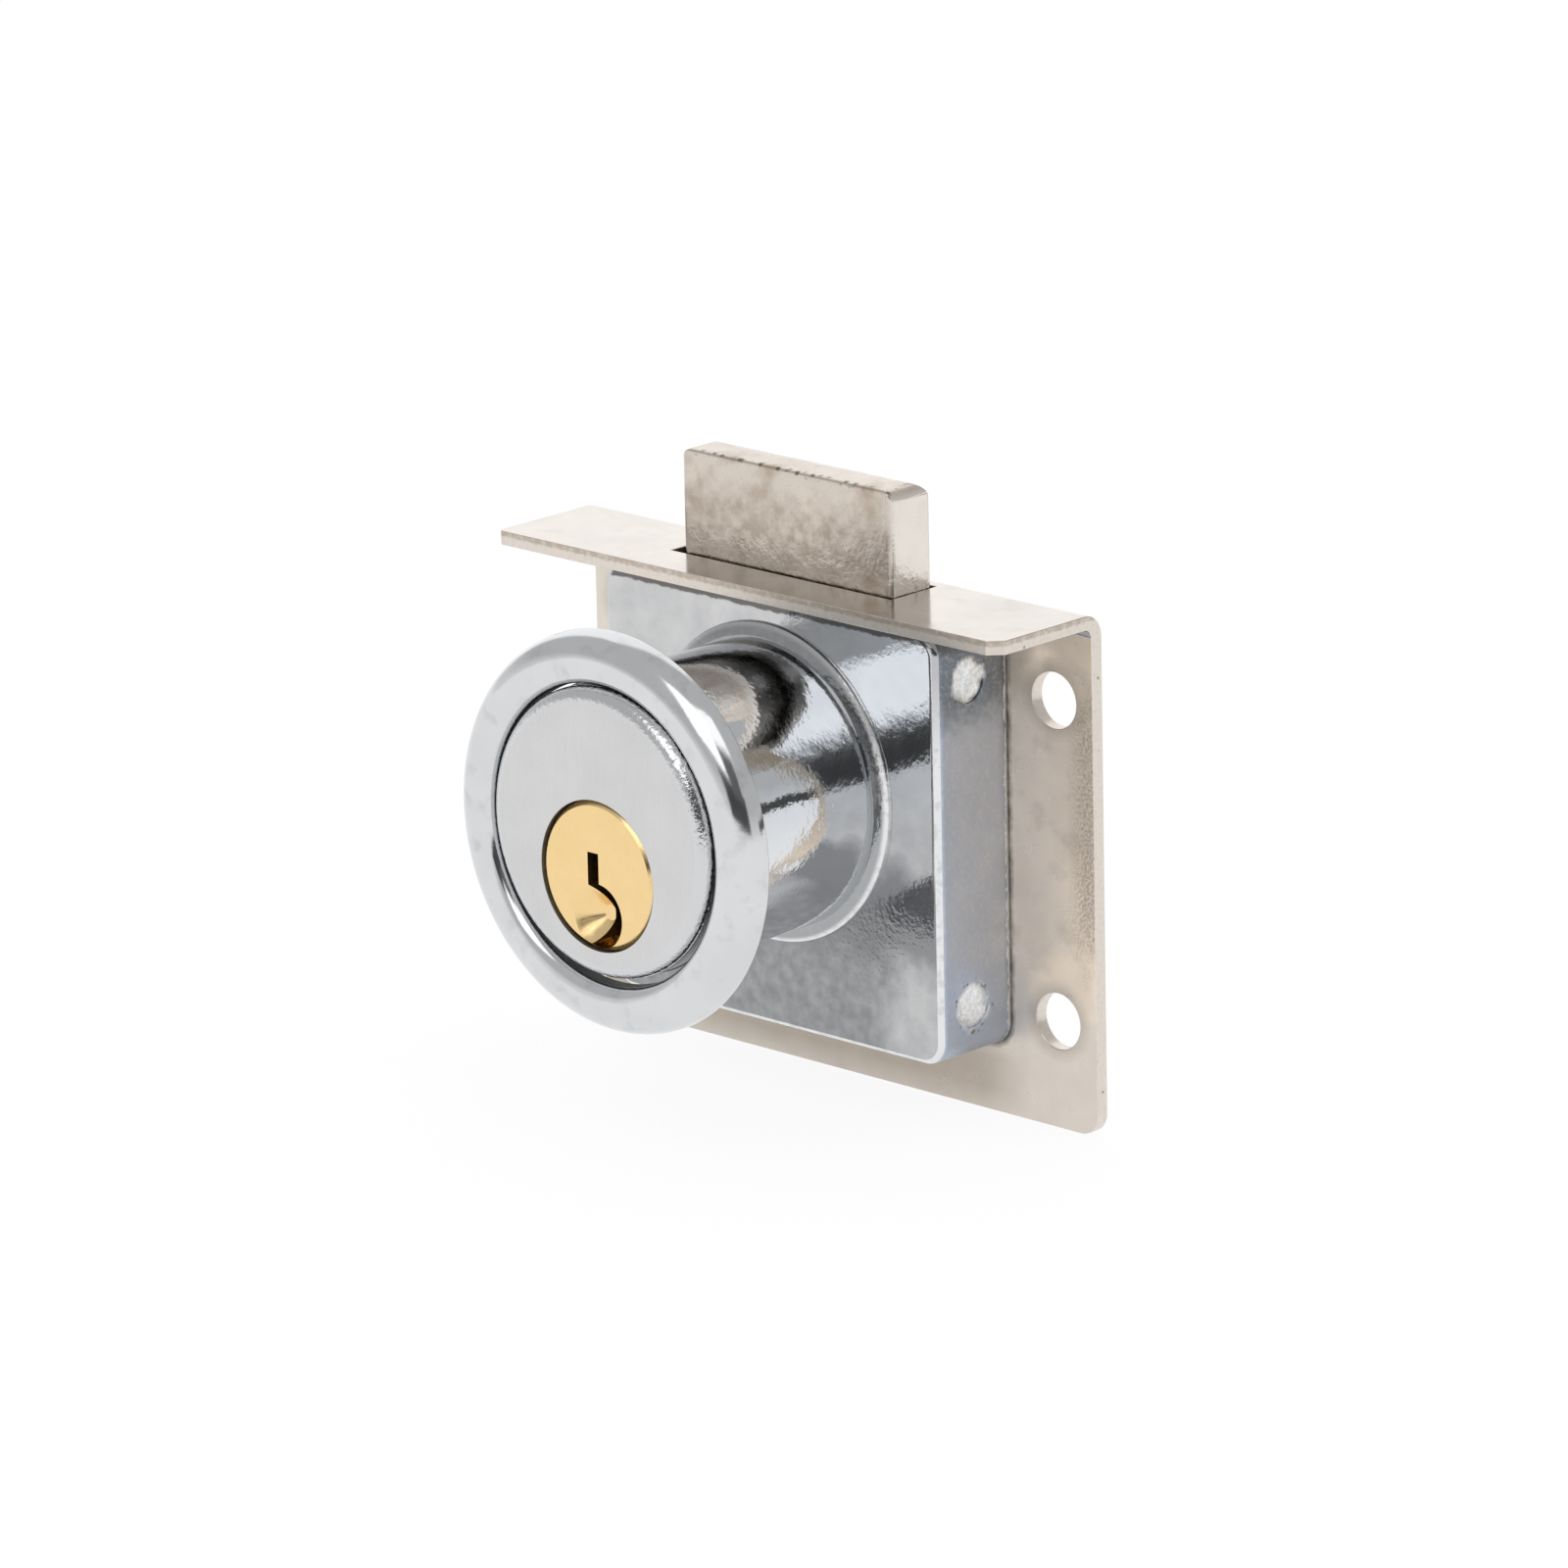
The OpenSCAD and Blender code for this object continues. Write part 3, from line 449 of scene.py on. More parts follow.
# The flash is a raised ridge; its near-white colour is a painted highlight.
flash = ranged(tree, pushed(tree, depth_mm, crumpled, 0.9), 0.1, 0.22)
flash = times(tree, flash, ranged(tree, depth_mm, 0.4, 0.2))
colour = tinted(tree, flash, colour, (0.88, 0.94, 1.0))
tree.links.new(colour, shader.inputs["Base Color"])
rough = ranged(tree, grain(tree, 1.2, 3), 0.3, 0.7, 0.32, 0.48)
rough = combined(tree, "SUBTRACT", rough, times(tree, in_mark, 0.1))
tree.links.new(rough, shader.inputs["Roughness"])
relief = raised(tree, grain(tree, 0.16, 2), 0.004, raised(tree, cloud, 0.03))
coarse = times(tree, combined(tree, "MAXIMUM", in_mark, flash), grain(tree, 0.28, 3))
tree.links.new(raised(tree, coarse, 0.03, relief), shader.inputs["Normal"])

# Old dirt and painted shade darken the chrome on the seat behind the disc's edge, in the trim ring's bore
# and in the gap round the plug. On the case's front edge under the flange, the darkening is painted shade.
grime_and_shade_chrome, tree, shader = metal("grime_and_shade_chrome", (0.16, 0.155, 0.15), 0.5)
tree.links.new(tinted(tree, grain(tree, 0.8, 3), (0.13, 0.135, 0.135), (0.34, 0.345, 0.345)),
               shader.inputs["Base Color"])

# The shell of the case, with four round corners and a rolled front edge.
corner_steps = 12
edge_steps = 8
bm = bmesh.new()
loops = []
levels = [(0, 0)] + [
    (case_edge * (1 - math.cos(math.radians(a))), case_front + case_edge * (1 - math.sin(math.radians(a))))
    for a in [90 * i / edge_steps for i in range(edge_steps + 1)]
]
for inset, y in levels:
    loop = []
    for sx, sz, turn in ((1, 1, 0), (-1, 1, 90), (-1, -1, 180), (1, -1, 270)):
        corner_x = sx * (case_high.x - case_corner)
        corner_z = case_high.z - case_corner if sz > 0 else case_low.z + case_corner
        corner = arc((corner_x, corner_z), case_corner - inset, turn, turn + 90, corner_steps)
        loop += [bm.verts.new((x, y, z)) for x, z in corner]
    loops.append(loop)
for a, b in zip(loops, loops[1:]):
    for k in range(len(a)):
        bm.faces.new([a[k], a[(k + 1) % len(a)], b[(k + 1) % len(a)], b[k]])
bm.faces.new(loops[0])
bm.faces.new(loops[-1])
bmesh.ops.recalc_face_normals(bm, faces=bm.faces)
case = new_piece("case", bm)

# The barrel, with its collar, the seat of the trim ring and the rolled edge of the disc.
root = case_front + case_wall / 2
collar_top = case_front - collar_height
seat_start = disc_face + seat_length
disc_edge_steps = 16
barrel_sides = 224
barrel_profile = [(0, root), (collar_radius, root)]
barrel_profile += [(collar_radius, case_front - collar_foot),
                   (collar_radius - 0.7 * collar_rim, case_front - collar_foot - 1.4 * collar_rim),
                   (barrel_radius + 2 * collar_seam, collar_top + 0.3 * collar_rim),
                   (barrel_radius + collar_seam, collar_top), (barrel_radius, collar_top)]
barrel_profile += [(barrel_radius, seat_start), (seat_radius, seat_start)]
barrel_profile += arc((seat_radius - disc_edge, disc_face + disc_edge), disc_edge, 0, -90,
                      disc_edge_steps)
barrel_profile += [(0, disc_face)]
joined(case, turned("barrel", barrel_profile, barrel_axis, barrel_sides, bright_chrome))

# Inside, the case is hollow, with a way out at the top for the bolt, the bore for the pin housing,
# room for the crank, and a rib on each side of the bolt.
cavity_front = case_front + case_wall
disc_thickness = 2.5 * MM
housing_front = disc_face + disc_thickness
crank_front = -7.8 * MM
inner_half = case_high.x - case_wall
floor_z = case_low.z + case_wall
roof_z = case_high.z - case_wall
way_half = 11.3 * MM
guide_thickness = 1.5 * MM
overlap = 0.05 * MM
bore_sides = 128
plug_hole_sides = 160


def bored(name, radius, front, back, axis_height, sides):
    """Cuts a round hole into the case, from one depth to another."""
    profile = [(0, front), (radius, front), (radius, back), (0, back)]
    joined(case, turned(name, profile, axis_height, sides, bright_chrome), "DIFFERENCE")


bored("housing_bore", bore_radius, housing_front, cavity_front + MM, barrel_axis, bore_sides)
bored("crank_room", crank_room, crank_front, cavity_front + MM, plug_axis, bore_sides)
bored("plug_hole", plug_bore, housing_front + MM, disc_face - MM, plug_axis, plug_hole_sides)
joined(case, block((-inner_half, cavity_front, floor_z), (inner_half, MM, roof_z)), "DIFFERENCE")
joined(case, block((-way_half, cavity_front, floor_z), (way_half, MM, case_high.z + MM)), "DIFFERENCE")
for side in (-1, 1):
    faces = sorted((side * way_half, side * (way_half + guide_thickness)))
    joined(case, block((faces[0], cavity_front - overlap, floor_z - overlap),
                       (faces[1], 0, roof_z + overlap)))

# Four posts cast in the corners go through the plate, and their ends are spread flush behind it.
plate_thickness = 1.1 * MM
post_x = 14.1 * MM
post_radius = 1.2 * MM
post_root = -0.1 * MM
post_neck = 0.4 * MM
post_head = 1.9 * MM
post_sides = 40
mark_depth = 0.1 * MM
mark_sides = 48
four_corners = empty_tree("four_corners", {"Width": "NodeSocketFloat", "Height": "NodeSocketFloat",
                                           "Place": "NodeSocketVector"})
start = wired(four_corners, "NodeGroupInput")
grid = wired(four_corners, "GeometryNodeMeshGrid", values={"Vertices X": 2, "Vertices Y": 2},
             links={"Size X": start.outputs["Width"], "Size Y": start.outputs["Height"]})
stood = wired(four_corners, "GeometryNodeTransform", values={"Rotation": (math.pi / 2, 0, 0)},
              links={"Geometry": grid.outputs[0], "Translation": start.outputs["Place"]})
copies = wired(four_corners, "GeometryNodeInstanceOnPoints",
               links={"Points": stood.outputs[0], "Instance": start.outputs["Section"]})
closing(four_corners, start, copies.outputs[0])

for side in (-1, 1):
    faces = sorted((side * (way_half + guide_thickness - overlap), side * (inner_half + overlap)))
    for level in (-1, 1):
        post_z = case_middle + level * post_spacing / 2
        joined(case, block((faces[0], cavity_front - overlap, post_z - post_head),
                           (faces[1], 0, post_z + post_head)))
post = turned("post", [(0, post_root), (post_radius, post_root), (post_radius, post_neck),
                       (post_head, plate_thickness), (0, plate_thickness)], 0, post_sides, bright_chrome)
shaped(post, four_corners, {"Width": 2 * post_x, "Height": post_spacing, "Place": (0, 0, case_middle),
                            "Finish": bright_chrome})
joined(case, post)
mark = turned("mark", [(0, -MM), (mark_radius, -MM), (mark_radius, MM), (0, MM)], 0, mark_sides,
              bright_chrome)
mark.data.transform(Matrix.Rotation(math.pi / 2, 4, "Z"))
shaped(mark, four_corners, {"Width": 2 * (case_high.x - mark_depth + MM), "Height": post_spacing,
                            "Place": (0, -mark_out, case_middle), "Finish": bright_chrome})
joined(case, mark, "DIFFERENCE")


def smoothed(piece, name, sharp_from=30):
    """Smooth faces that break at the sharp edges, with the large flat ones kept flat."""
    piece.data.polygons.foreach_set("use_smooth", [True] * len(piece.data.polygons))
    piece.data.set_sharp_from_angle(angle=math.radians(sharp_from))
    flat = piece.modifiers.new("flat", "WEIGHTED_NORMAL")
    flat.keep_sharp = True
    applied(piece)
    piece.name = name
    piece.data.name = name


def finished(piece, finishes, choose):
    """Gives the piece its finishes, and each face the one that is chosen for it."""
    piece.data.materials.clear()
    for finish in finishes:
        piece.data.materials.append(finish)
    for face in piece.data.polygons:
        face.material_index = finishes.index(choose(face.center, face.normal))


near = 0.01 * MM
rolled_from = -0.92
rolled_to = -0.4


def case_finish(middle, normal):
    on_edge = case_front + 2 * near < middle.y < case_front + case_edge
    from_axis = math.hypot(middle.x, middle.z - barrel_axis)
    from_plug = math.hypot(middle.x, middle.z - plug_axis)
    if on_edge and middle.z > case_high.z - case_edge:
        return grime_and_shade_chrome
    if on_edge and rolled_from < normal.y < rolled_to:
        return edge_highlight_chrome
    if collar_top - near < middle.y < case_front and from_axis > barrel_radius + 2 * near:
        return edge_highlight_chrome
    if disc_face + near < middle.y < housing_front and from_plug < plug_bore + 5 * near:
        return grime_and_shade_chrome
    if middle.y > plate_thickness / 2:
        return satin_chrome
    if middle.y > case_front + 0.7 * case_edge:
        return dull_chrome
    if middle.y < disc_face + near:
        return satin_chrome
    if disc_face + 1.01 * disc_edge < middle.y < seat_start + near:
        return grime_and_shade_chrome
    return bright_chrome


smoothed(case, "chromed_case")
finished(case, (bright_chrome, satin_chrome, dull_chrome, grime_and_shade_chrome, edge_highlight_chrome), case_finish)
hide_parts("lock_case")
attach(case, "case")

# The trim ring is spun from thin sheet and polished before it is chromed. Its dome falls to the
# barrel, where the edge is rolled over and turned back. It lies loose round the barrel.
ring_low, ring_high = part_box("trim_ring")
ring_axis = (ring_low.z + ring_high.z) / 2
ring_sheet = 0.6 * MM
ring_outer = ring_high.x
ring_bore = 11.4 * MM
ring_crest = 13 * MM
ring_slope = 12
ring_lip = 0.48 * MM
ring_roll = 1.0 * MM
ring_rim = 0.12 * MM
ring_sides = 256
rim_steps = 4
dome_steps = 32
roll_steps = 8
inner_steps = 20
dome_radius = ring_outer - ring_crest
dome_y = ring_low.y + dome_radius
meet_radius = ring_crest - dome_radius * math.sin(math.radians(ring_slope))
meet_y = dome_y - dome_radius * math.cos(math.radians(ring_slope))
rim_y = meet_y + (meet_radius - ring_bore) * math.tan(math.radians(ring_slope))
slope = math.radians(ring_slope)
rolled = (ring_bore + ring_roll, rim_y + ring_roll * (1 - math.sin(slope)) / math.cos(slope))
ring_profile = arc((ring_outer - ring_rim, ring_high.y - ring_rim), ring_rim, 90, 0, rim_steps)
ring_profile += arc((ring_crest, dome_y), dome_radius, 0, -90 - ring_slope, dome_steps)
ring_profile += arc(rolled, ring_roll, -90 - ring_slope, -180, roll_steps)
ring_profile += [(ring_bore, ring_high.y - ring_lip), (ring_bore + ring_sheet, ring_high.y - ring_lip)]
ring_profile += [(ring_bore + ring_sheet, rim_y + ring_sheet)]
ring_profile += arc((ring_crest, dome_y), dome_radius - ring_sheet, -90 - ring_slope, 0, inner_steps)
ring_profile += [(ring_outer - ring_sheet, ring_high.y)]

polished_chrome, tree, shader = metal("polished_chrome", (0.68, 0.69, 0.70), 0.1)
colour = tinted(tree, grain(tree, 4, 3), (0.63, 0.64, 0.66), (0.73, 0.735, 0.74))
smears = ranged(tree, grain(tree, 1.6, 5, turn=(0.5, 0.3, 0)), 0.55, 0.75, 0, 0.4)
colour = tinted(tree, smears, colour, (0.45, 0.46, 0.47))
tree.links.new(colour, shader.inputs["Base Color"])
tree.links.new(ranged(tree, grain(tree, 2.2, 3), 0.3, 0.7, 0.07, 0.15), shader.inputs["Roughness"])
wave = raised(tree, grain(tree, 3.2, 1), 0.03)
ripple = raised(tree, grain(tree, 0.8, 2), 0.006, wave)
tree.links.new(raised(tree, grain(tree, 0.15, 2), 0.0006, ripple), shader.inputs["Normal"])


def ring_finish(middle, normal):
    in_bore = math.hypot(middle.x, middle.z - ring_axis) < ring_bore + near
    return grime_and_shade_chrome if in_bore else polished_chrome


ring = turned("ring", ring_profile, ring_axis, ring_sides, polished_chrome, closed=True)
smoothed(ring, "domed_ring")
finished(ring, (polished_chrome, grime_and_shade_chrome), ring_finish)
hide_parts("trim_ring")
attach(ring, "trim_ring")

# The mounting plate is sheet steel, blanked with its four screw holes and the slot for the bolt, then
# bent at the top. Its warm nickel plating is a little cloudy, with thin brown patches.
edge_break = 0.12 * MM
break_steps = 3
sharp_angle = math.radians(30)
flat_angle = math.radians(0.5)


def nickel_plating(name, tone, gloss, stain, clouds, pitted):
    """Warm nickel over steel: cloudy, stained brown in places by the amount, and pitted."""
    finish, tree, shader = metal(name, tone, gloss)
    cloud = grain(tree, 5, 4, turn=(0, 0.6, 0))
    darker = tuple(0.93 * part for part in tone)
    lighter = tuple(1.06 * part for part in tone)
    colour = tinted(tree, ranged(tree, cloud, 0.3, 0.7), darker, lighter)
    patch = ranged(tree, grain(tree, 2.6, 6, turn=(0.3, 0, 0.2)), 0.55, 0.72, 0, stain)
    colour = tinted(tree, patch, colour, (0.45, 0.365, 0.29))
    specks = ranged(tree, grain(tree, 0.2, 3), 0.58, 0.75, 0, 0.6 * stain)
    colour = tinted(tree, specks, colour, (0.45, 0.37, 0.30))
    spots = times(tree, pits(tree, 0.14, 0.9, pitted), 0.7)
    colour = tinted(tree, spots, colour, (0.22, 0.18, 0.15))
    tree.links.new(colour, shader.inputs["Base Color"])
    tree.links.new(ranged(tree, grain(tree, 1.8, 4), 0.3, 0.7, 0.7 * gloss, 1.35 * gloss),
                   shader.inputs["Roughness"])
    wave = raised(tree, grain(tree, 3.4, 2, turn=(0, 0.6, 0)), clouds)
    fine = raised(tree, grain(tree, 0.3, 3), 0.1 * clouds, wave)
    dent = raised(tree, combined(tree, "SUBTRACT", 1, spots), 0.003, fine)
    tree.links.new(dent, shader.inputs["Normal"])
    return finish, tree, shader, colour


def softened(node, edge_width, body, name, finish):
    """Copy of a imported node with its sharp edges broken, to stand for it."""
    bm = bmesh.new()
    bm.from_mesh(nodes[node].data)
    bmesh.ops.remove_doubles(bm, verts=bm.verts, dist=weld)
    bmesh.ops.dissolve_limit(bm, angle_limit=flat_angle, verts=bm.verts, edges=bm.edges)
    piece = new_piece(name, bm)
    rounding = piece.modifiers.new("edges", "BEVEL")
    rounding.width = edge_width
    rounding.segments = break_steps
    rounding.limit_method = "ANGLE"
    rounding.angle_limit = sharp_angle
    applied(piece)
    smoothed(piece, name)
    piece.data.materials.clear()
    piece.data.materials.append(finish)
    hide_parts(node)
    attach(piece, body)
    return piece


bright_nickel = nickel_plating("bright_nickel", (0.72, 0.67, 0.62), 0.16, 0.2, 0.012, 0.03)[0]
plate = softened("mounting_plate", edge_break, "case", "angle_plate", bright_nickel)

# The rolling left the upright satin. Painted shade darkens its front low on the right, it is cooler on the
# left, and hands have browned it near the right edge. A painted shadow lies close round the case, painted
# shade dims the strip below it, and dirt rings the screw holes.
plate_low, plate_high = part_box("mounting_plate")
hole_x = 21.7 * MM
hole_z = 12.3 * MM
low_tone_top = (-8, -14)
left_tone_side = (0, -10)
handled_foot = (-6, -2)
handled_top = (17, 14)
handled_side = (22.8, 24.6)
strip_shade_top = (-14.5, -16.5)
strip_shade_side = (19, 14)
strip_shade_foot = (-20.4, -18.8)
case_shadow_reach = (2.3, 1.8)
hole_dirt = (3.6, 2.5)
satin_nickel, tree, shader, colour = nickel_plating(
    "satin_nickel", (0.97, 0.82, 0.66), 0.34, 0.3, 0.02, 0.02)
shader.inputs["Metallic"].default_value = 0.7
height_mm = along(tree, "Z")
across_mm = along(tree, "X")
gritty = grain(tree, 0.25, 3)
# Painted shade: the front is darker towards the bottom.
colour = tinted(tree, ranged(tree, height_mm, *low_tone_top, 0, 0.85), colour, (0.70, 0.65, 0.595))
colour = tinted(tree, ranged(tree, across_mm, *left_tone_side, 0, 0.9), colour, (0.78, 0.735, 0.66))
uneven_mm = pushed(tree, height_mm, grain(tree, 2, 3), 6)
handled = times(tree, ranged(tree, uneven_mm, *handled_foot), ranged(tree, uneven_mm, *handled_top))
handled = times(tree, handled, ranged(tree, across_mm, *handled_side))
handled = times(tree, handled, ranged(tree, gritty, 0.4, 0.6, 0.4, 1))
colour = tinted(tree, times(tree, handled, 0.75), colour, (0.46, 0.38, 0.30))
plate_front = ranged(tree, along(tree, "Y"), 0.6, 0.3)
plate_back = combined(tree, "SUBTRACT", 1, plate_front)
colour = tinted(tree, times(tree, plate_back, 0.8), colour, (0.75, 0.70, 0.63))
# Painted shade dims the strip of plate below the case.
strip_shade = times(tree, ranged(tree, height_mm, *strip_shade_top), ranged(tree, across_mm, *strip_shade_side))
strip_shade = times(tree, strip_shade, ranged(tree, height_mm, *strip_shade_foot, 0.3, 0.8))
colour = tinted(tree, times(tree, strip_shade, plate_front), colour, (0.44, 0.375, 0.305))
# A painted shadow lies close round the case, fading out with the distance from its outline.
from_middle_mm = unsigned(tree, across_mm)
beside = combined(tree, "SUBTRACT", from_middle_mm, (case_high.x - case_corner) / MM)
below = combined(tree, "SUBTRACT", (case_low.z + case_corner) / MM, height_mm)
from_case = spanned(tree, combined(tree, "MAXIMUM", beside, 0), combined(tree, "MAXIMUM", below, 0))
from_case = pushed(tree, from_case, grain(tree, 1.2, 3), -0.4)
case_shadow = times(tree, ranged(tree, from_case, *case_shadow_reach), plate_front)
colour = tinted(tree, case_shadow, colour, (0.06, 0.045, 0.035))
rim_x = combined(tree, "SUBTRACT", from_middle_mm, hole_x / MM)
rim_z = combined(tree, "SUBTRACT", unsigned(tree, height_mm), hole_z / MM)
rim_mm = pushed(tree, spanned(tree, rim_x, rim_z), gritty, 0.6)
colour = tinted(tree, ranged(tree, rim_mm, *hole_dirt, 0, 0.4), colour, (0.40, 0.33, 0.26))
tree.links.new(colour, shader.inputs["Base Color"])
under = shader.inputs["Normal"].links[0].from_socket
tree.links.new(raised(tree, times(tree, handled, gritty), 0.04, under), shader.inputs["Normal"])
# The flange's underside gets a darker, rougher copy of the plating; its darker colour is painted shade.
dull_shaded_nickel = nickel_plating("dull_shaded_nickel", (0.44, 0.41, 0.375), 0.3, 0.2, 0.012, 0.03)[0]

# The press has sheared the plate's edges and holes in two bands, smooth near one face and torn near
# the other, which shows along the flange's front edge.
torn_foot = plate_high.z / MM - 0.36
sheared_nickel, tree, shader = metal("sheared_nickel", (0.80, 0.74, 0.67), 0.36)
torn = grain(tree, 0.35, 4)
torn_top = ranged(tree, pushed(tree, along(tree, "Z"), torn, 0.3), torn_foot, torn_foot + 0.15)
torn_top = times(tree, torn_top, ranged(tree, grain(tree, 0.6, 3), 0.3, 0.55, 0.3, 1))
colour = tinted(tree, ranged(tree, torn, 0.45, 0.65, 0, 0.4), (0.77, 0.71, 0.645), (0.65, 0.59, 0.525))
colour = tinted(tree, pits(tree, 0.16, 0.8, 0.25), colour, (0.30, 0.25, 0.20))
colour = tinted(tree, torn_top, colour, (0.52, 0.45, 0.38))
tree.links.new(colour, shader.inputs["Base Color"])
tree.links.new(raised(tree, torn, 0.02), shader.inputs["Normal"])

# Which face has which finish: the upright is satin, the flange's underside the dullest and darkened by
# painted shade, and the outer edges and the walls of the screw holes are sheared. The last three limits tell
# by a face's normal how it points.
bend_z = 17 * MM
hole_reach = 2.4 * MM
side_band = 0.2 * MM
foot_band = 0.3 * MM
lip_band = 1.5 * MM
facing = 0.9
leaning = 0.7
edgewise = 0.4


def plate_finish(middle, normal):
    in_hole = math.hypot(abs(middle.x) - hole_x, abs(middle.z) - hole_z) < hole_reach
    by_holes = abs(middle.x) > hole_x - hole_reach and not in_hole
    on_upright = middle.z < bend_z
    if on_upright and abs(normal.y) > facing:
        return satin_nickel
    if in_hole and on_upright:
        return sheared_nickel
    if not on_upright and normal.z < -leaning:
        return dull_shaded_nickel
    if abs(normal.x) > facing and abs(middle.x) > plate_high.x - side_band:
        return sheared_nickel
    if on_upright and by_holes and abs(normal.y) < edgewise:
        return sheared_nickel
    if on_upright and middle.z < plate_low.z + foot_band:
        return sheared_nickel
    if middle.y < plate_low.y + lip_band and abs(normal.z) < edgewise:
        return sheared_nickel
    return bright_nickel


finished(plate, (bright_nickel, satin_nickel, dull_shaded_nickel, sheared_nickel), plate_finish)

# The bolt is a steel block, rounded at its corners and plated with the plate. Its front is mottled,
# darker in the middle, and pitted along its top edge and its foot from handling. A bowed spring leaf
# on its back rubs on the plate, so that it stays put.
bolt_low, bolt_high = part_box("bolt")
middle_top = (27.6, 25.4)
middle_foot = (21.6, 23.2)
pitted_foot = (22, 20.4)
rough_top = (26, 23)
lit_side_from = (10.9, 11.1)
bolt_nickel, tree, shader, colour = nickel_plating(
    "worn_nickel", (0.67, 0.605, 0.535), 0.24, 0.8, 0.05, 0.3)
height_mm = along(tree, "Z")
uneven_mm = pushed(tree, height_mm, grain(tree, 2, 4), 3)
darker = times(tree, ranged(tree, uneven_mm, *middle_top), ranged(tree, uneven_mm, *middle_foot))
spotted = ranged(tree, grain(tree, 0.9, 5), 0.35, 0.65, 0.35, 1)
colour = tinted(tree, times(tree, darker, spotted), colour, (0.44, 0.375, 0.315))
# Painted light: the bolt's right side is painted lighter than its front.
lit_side = ranged(tree, along(tree, "X"), *lit_side_from)
colour = tinted(tree, lit_side, colour, (0.80, 0.745, 0.685))
near_top = ranged(tree, height_mm, bolt_high.z / MM - 0.5, bolt_high.z / MM - 0.2)
near_front = ranged(tree, along(tree, "Y"), bolt_low.y / MM + 0.6, bolt_low.y / MM + 0.3)
foot = ranged(tree, uneven_mm, *pitted_foot, 0, 0.5)
worn_places = combined(tree, "MAXIMUM", times(tree, near_top, near_front), foot)
dented = times(tree, worn_places, pits(tree, 0.32, 0.6, 0.6))
colour = tinted(tree, dented, colour, (0.20, 0.155, 0.12))
tree.links.new(colour, shader.inputs["Base Color"])
under = shader.inputs["Normal"].links[0].from_socket
grainy = times(tree, grain(tree, 0.4, 4), ranged(tree, uneven_mm, *rough_top, 0.5, 1))
tree.links.new(raised(tree, grainy, 0.042, under), shader.inputs["Normal"])
softened("bolt", edge_break, "bolt", "nickel_bolt", bolt_nickel)
spring_steel, tree, shader = metal("drawn_spring_steel", (0.56, 0.57, 0.59), 0.25)
drawn = grain(tree, 0.6, 3, (1, 1, 0.2))
tree.links.new(ranged(tree, drawn, 0.3, 0.7, 0.18, 0.36), shader.inputs["Roughness"])


def refinished(node, finish):
    nodes[node].data.materials.clear()
    nodes[node].data.materials.append(finish)


refinished("bolt_spring", spring_steel)

# The plug is turned from brass, with a lapped face and a chamfered rim. The keyway is broached
# through it, and a drill has left a cone beside the keyway that leads the key in.
plug_edge_break = 0.06 * MM
lapped_brass, tree, shader = metal("lapped_brass", (0.86, 0.62, 0.29), 0.24)
stains = ranged(tree, grain(tree, 1.3, 5), 0.58, 0.78, 0, 0.08)
colour = tinted(tree, grain(tree, 2.5, 2), (0.88, 0.64, 0.31), (0.93, 0.69, 0.355))
colour = tinted(tree, stains, colour, (0.62, 0.40, 0.15))
tree.links.new(colour, shader.inputs["Base Color"])
tree.links.new(ranged(tree, grain(tree, 0.8, 3), 0.3, 0.7, 0.16, 0.3), shader.inputs["Roughness"])
tree.links.new(raised(tree, grain(tree, 0.7, 1), 0.002), shader.inputs["Normal"])
plug = softened("plug", plug_edge_break, "plug", "brass_plug", lapped_brass)

# Deep in the keyway the brass is dark with grease and with painted shade.
greased_shaded_brass, tree, shader = metal("greased_shaded_brass", (0.16, 0.09, 0.03), 0.55)
tree.links.new(tinted(tree, grain(tree, 0.6, 3), (0.06, 0.03, 0.01), (0.26, 0.16, 0.06)),
               shader.inputs["Base Color"])
plug_low, plug_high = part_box("plug")
head_radius = (plug_high.x - plug_low.x) / 2
keyway_reach = head_radius - 0.45 * MM
keyway_back = housing_front + 12 * MM
sideways = 0.3


def plug_finish(middle, normal):
    from_axis = math.hypot(middle.x, middle.z - plug_axis)
    in_keyway = from_axis < keyway_reach and middle.y < keyway_back
    return greased_shaded_brass if in_keyway and abs(normal.y) < sideways else lapped_brass


finished(plug, (lapped_brass, greased_shaded_brass), plug_finish)

# The pin housing is a machined brass core, staked into the barrel. Five chambers hold the pin stacks:
# a pointed brass key pin, a steel driver and a spring of drawn wire in each.
machined_brass, tree, shader = metal("machined_brass", (0.78, 0.58, 0.31), 0.3)
cuts = grain(tree, 0.25, 2, (0.05, 1, 0.05))
tree.links.new(ranged(tree, cuts, 0.3, 0.7, 0.22, 0.38), shader.inputs["Roughness"])
tree.links.new(raised(tree, cuts, 0.003), shader.inputs["Normal"])
refinished("pin_housing", machined_brass)


def lathed(name, colour):
    """Metal with the fine rings that the lathe leaves round a pin."""
    finish, tree, shader = metal(name, colour, 0.2)
    rings = grain(tree, 0.15, 1, (0.02, 0.02, 1))
    tree.links.new(ranged(tree, rings, 0.3, 0.7, 0.14, 0.3), shader.inputs["Roughness"])
    return finish


pin_brass = lathed("turned_pin_brass", (0.84, 0.63, 0.33))
driver_steel = lathed("turned_driver_steel", (0.62, 0.62, 0.64))
for i in range(1, 6):
    refinished(f"key_pin_{i}", pin_brass)
    refinished(f"driver_pin_{i}", driver_steel)
    refinished(f"pin_spring_{i}", spring_steel)

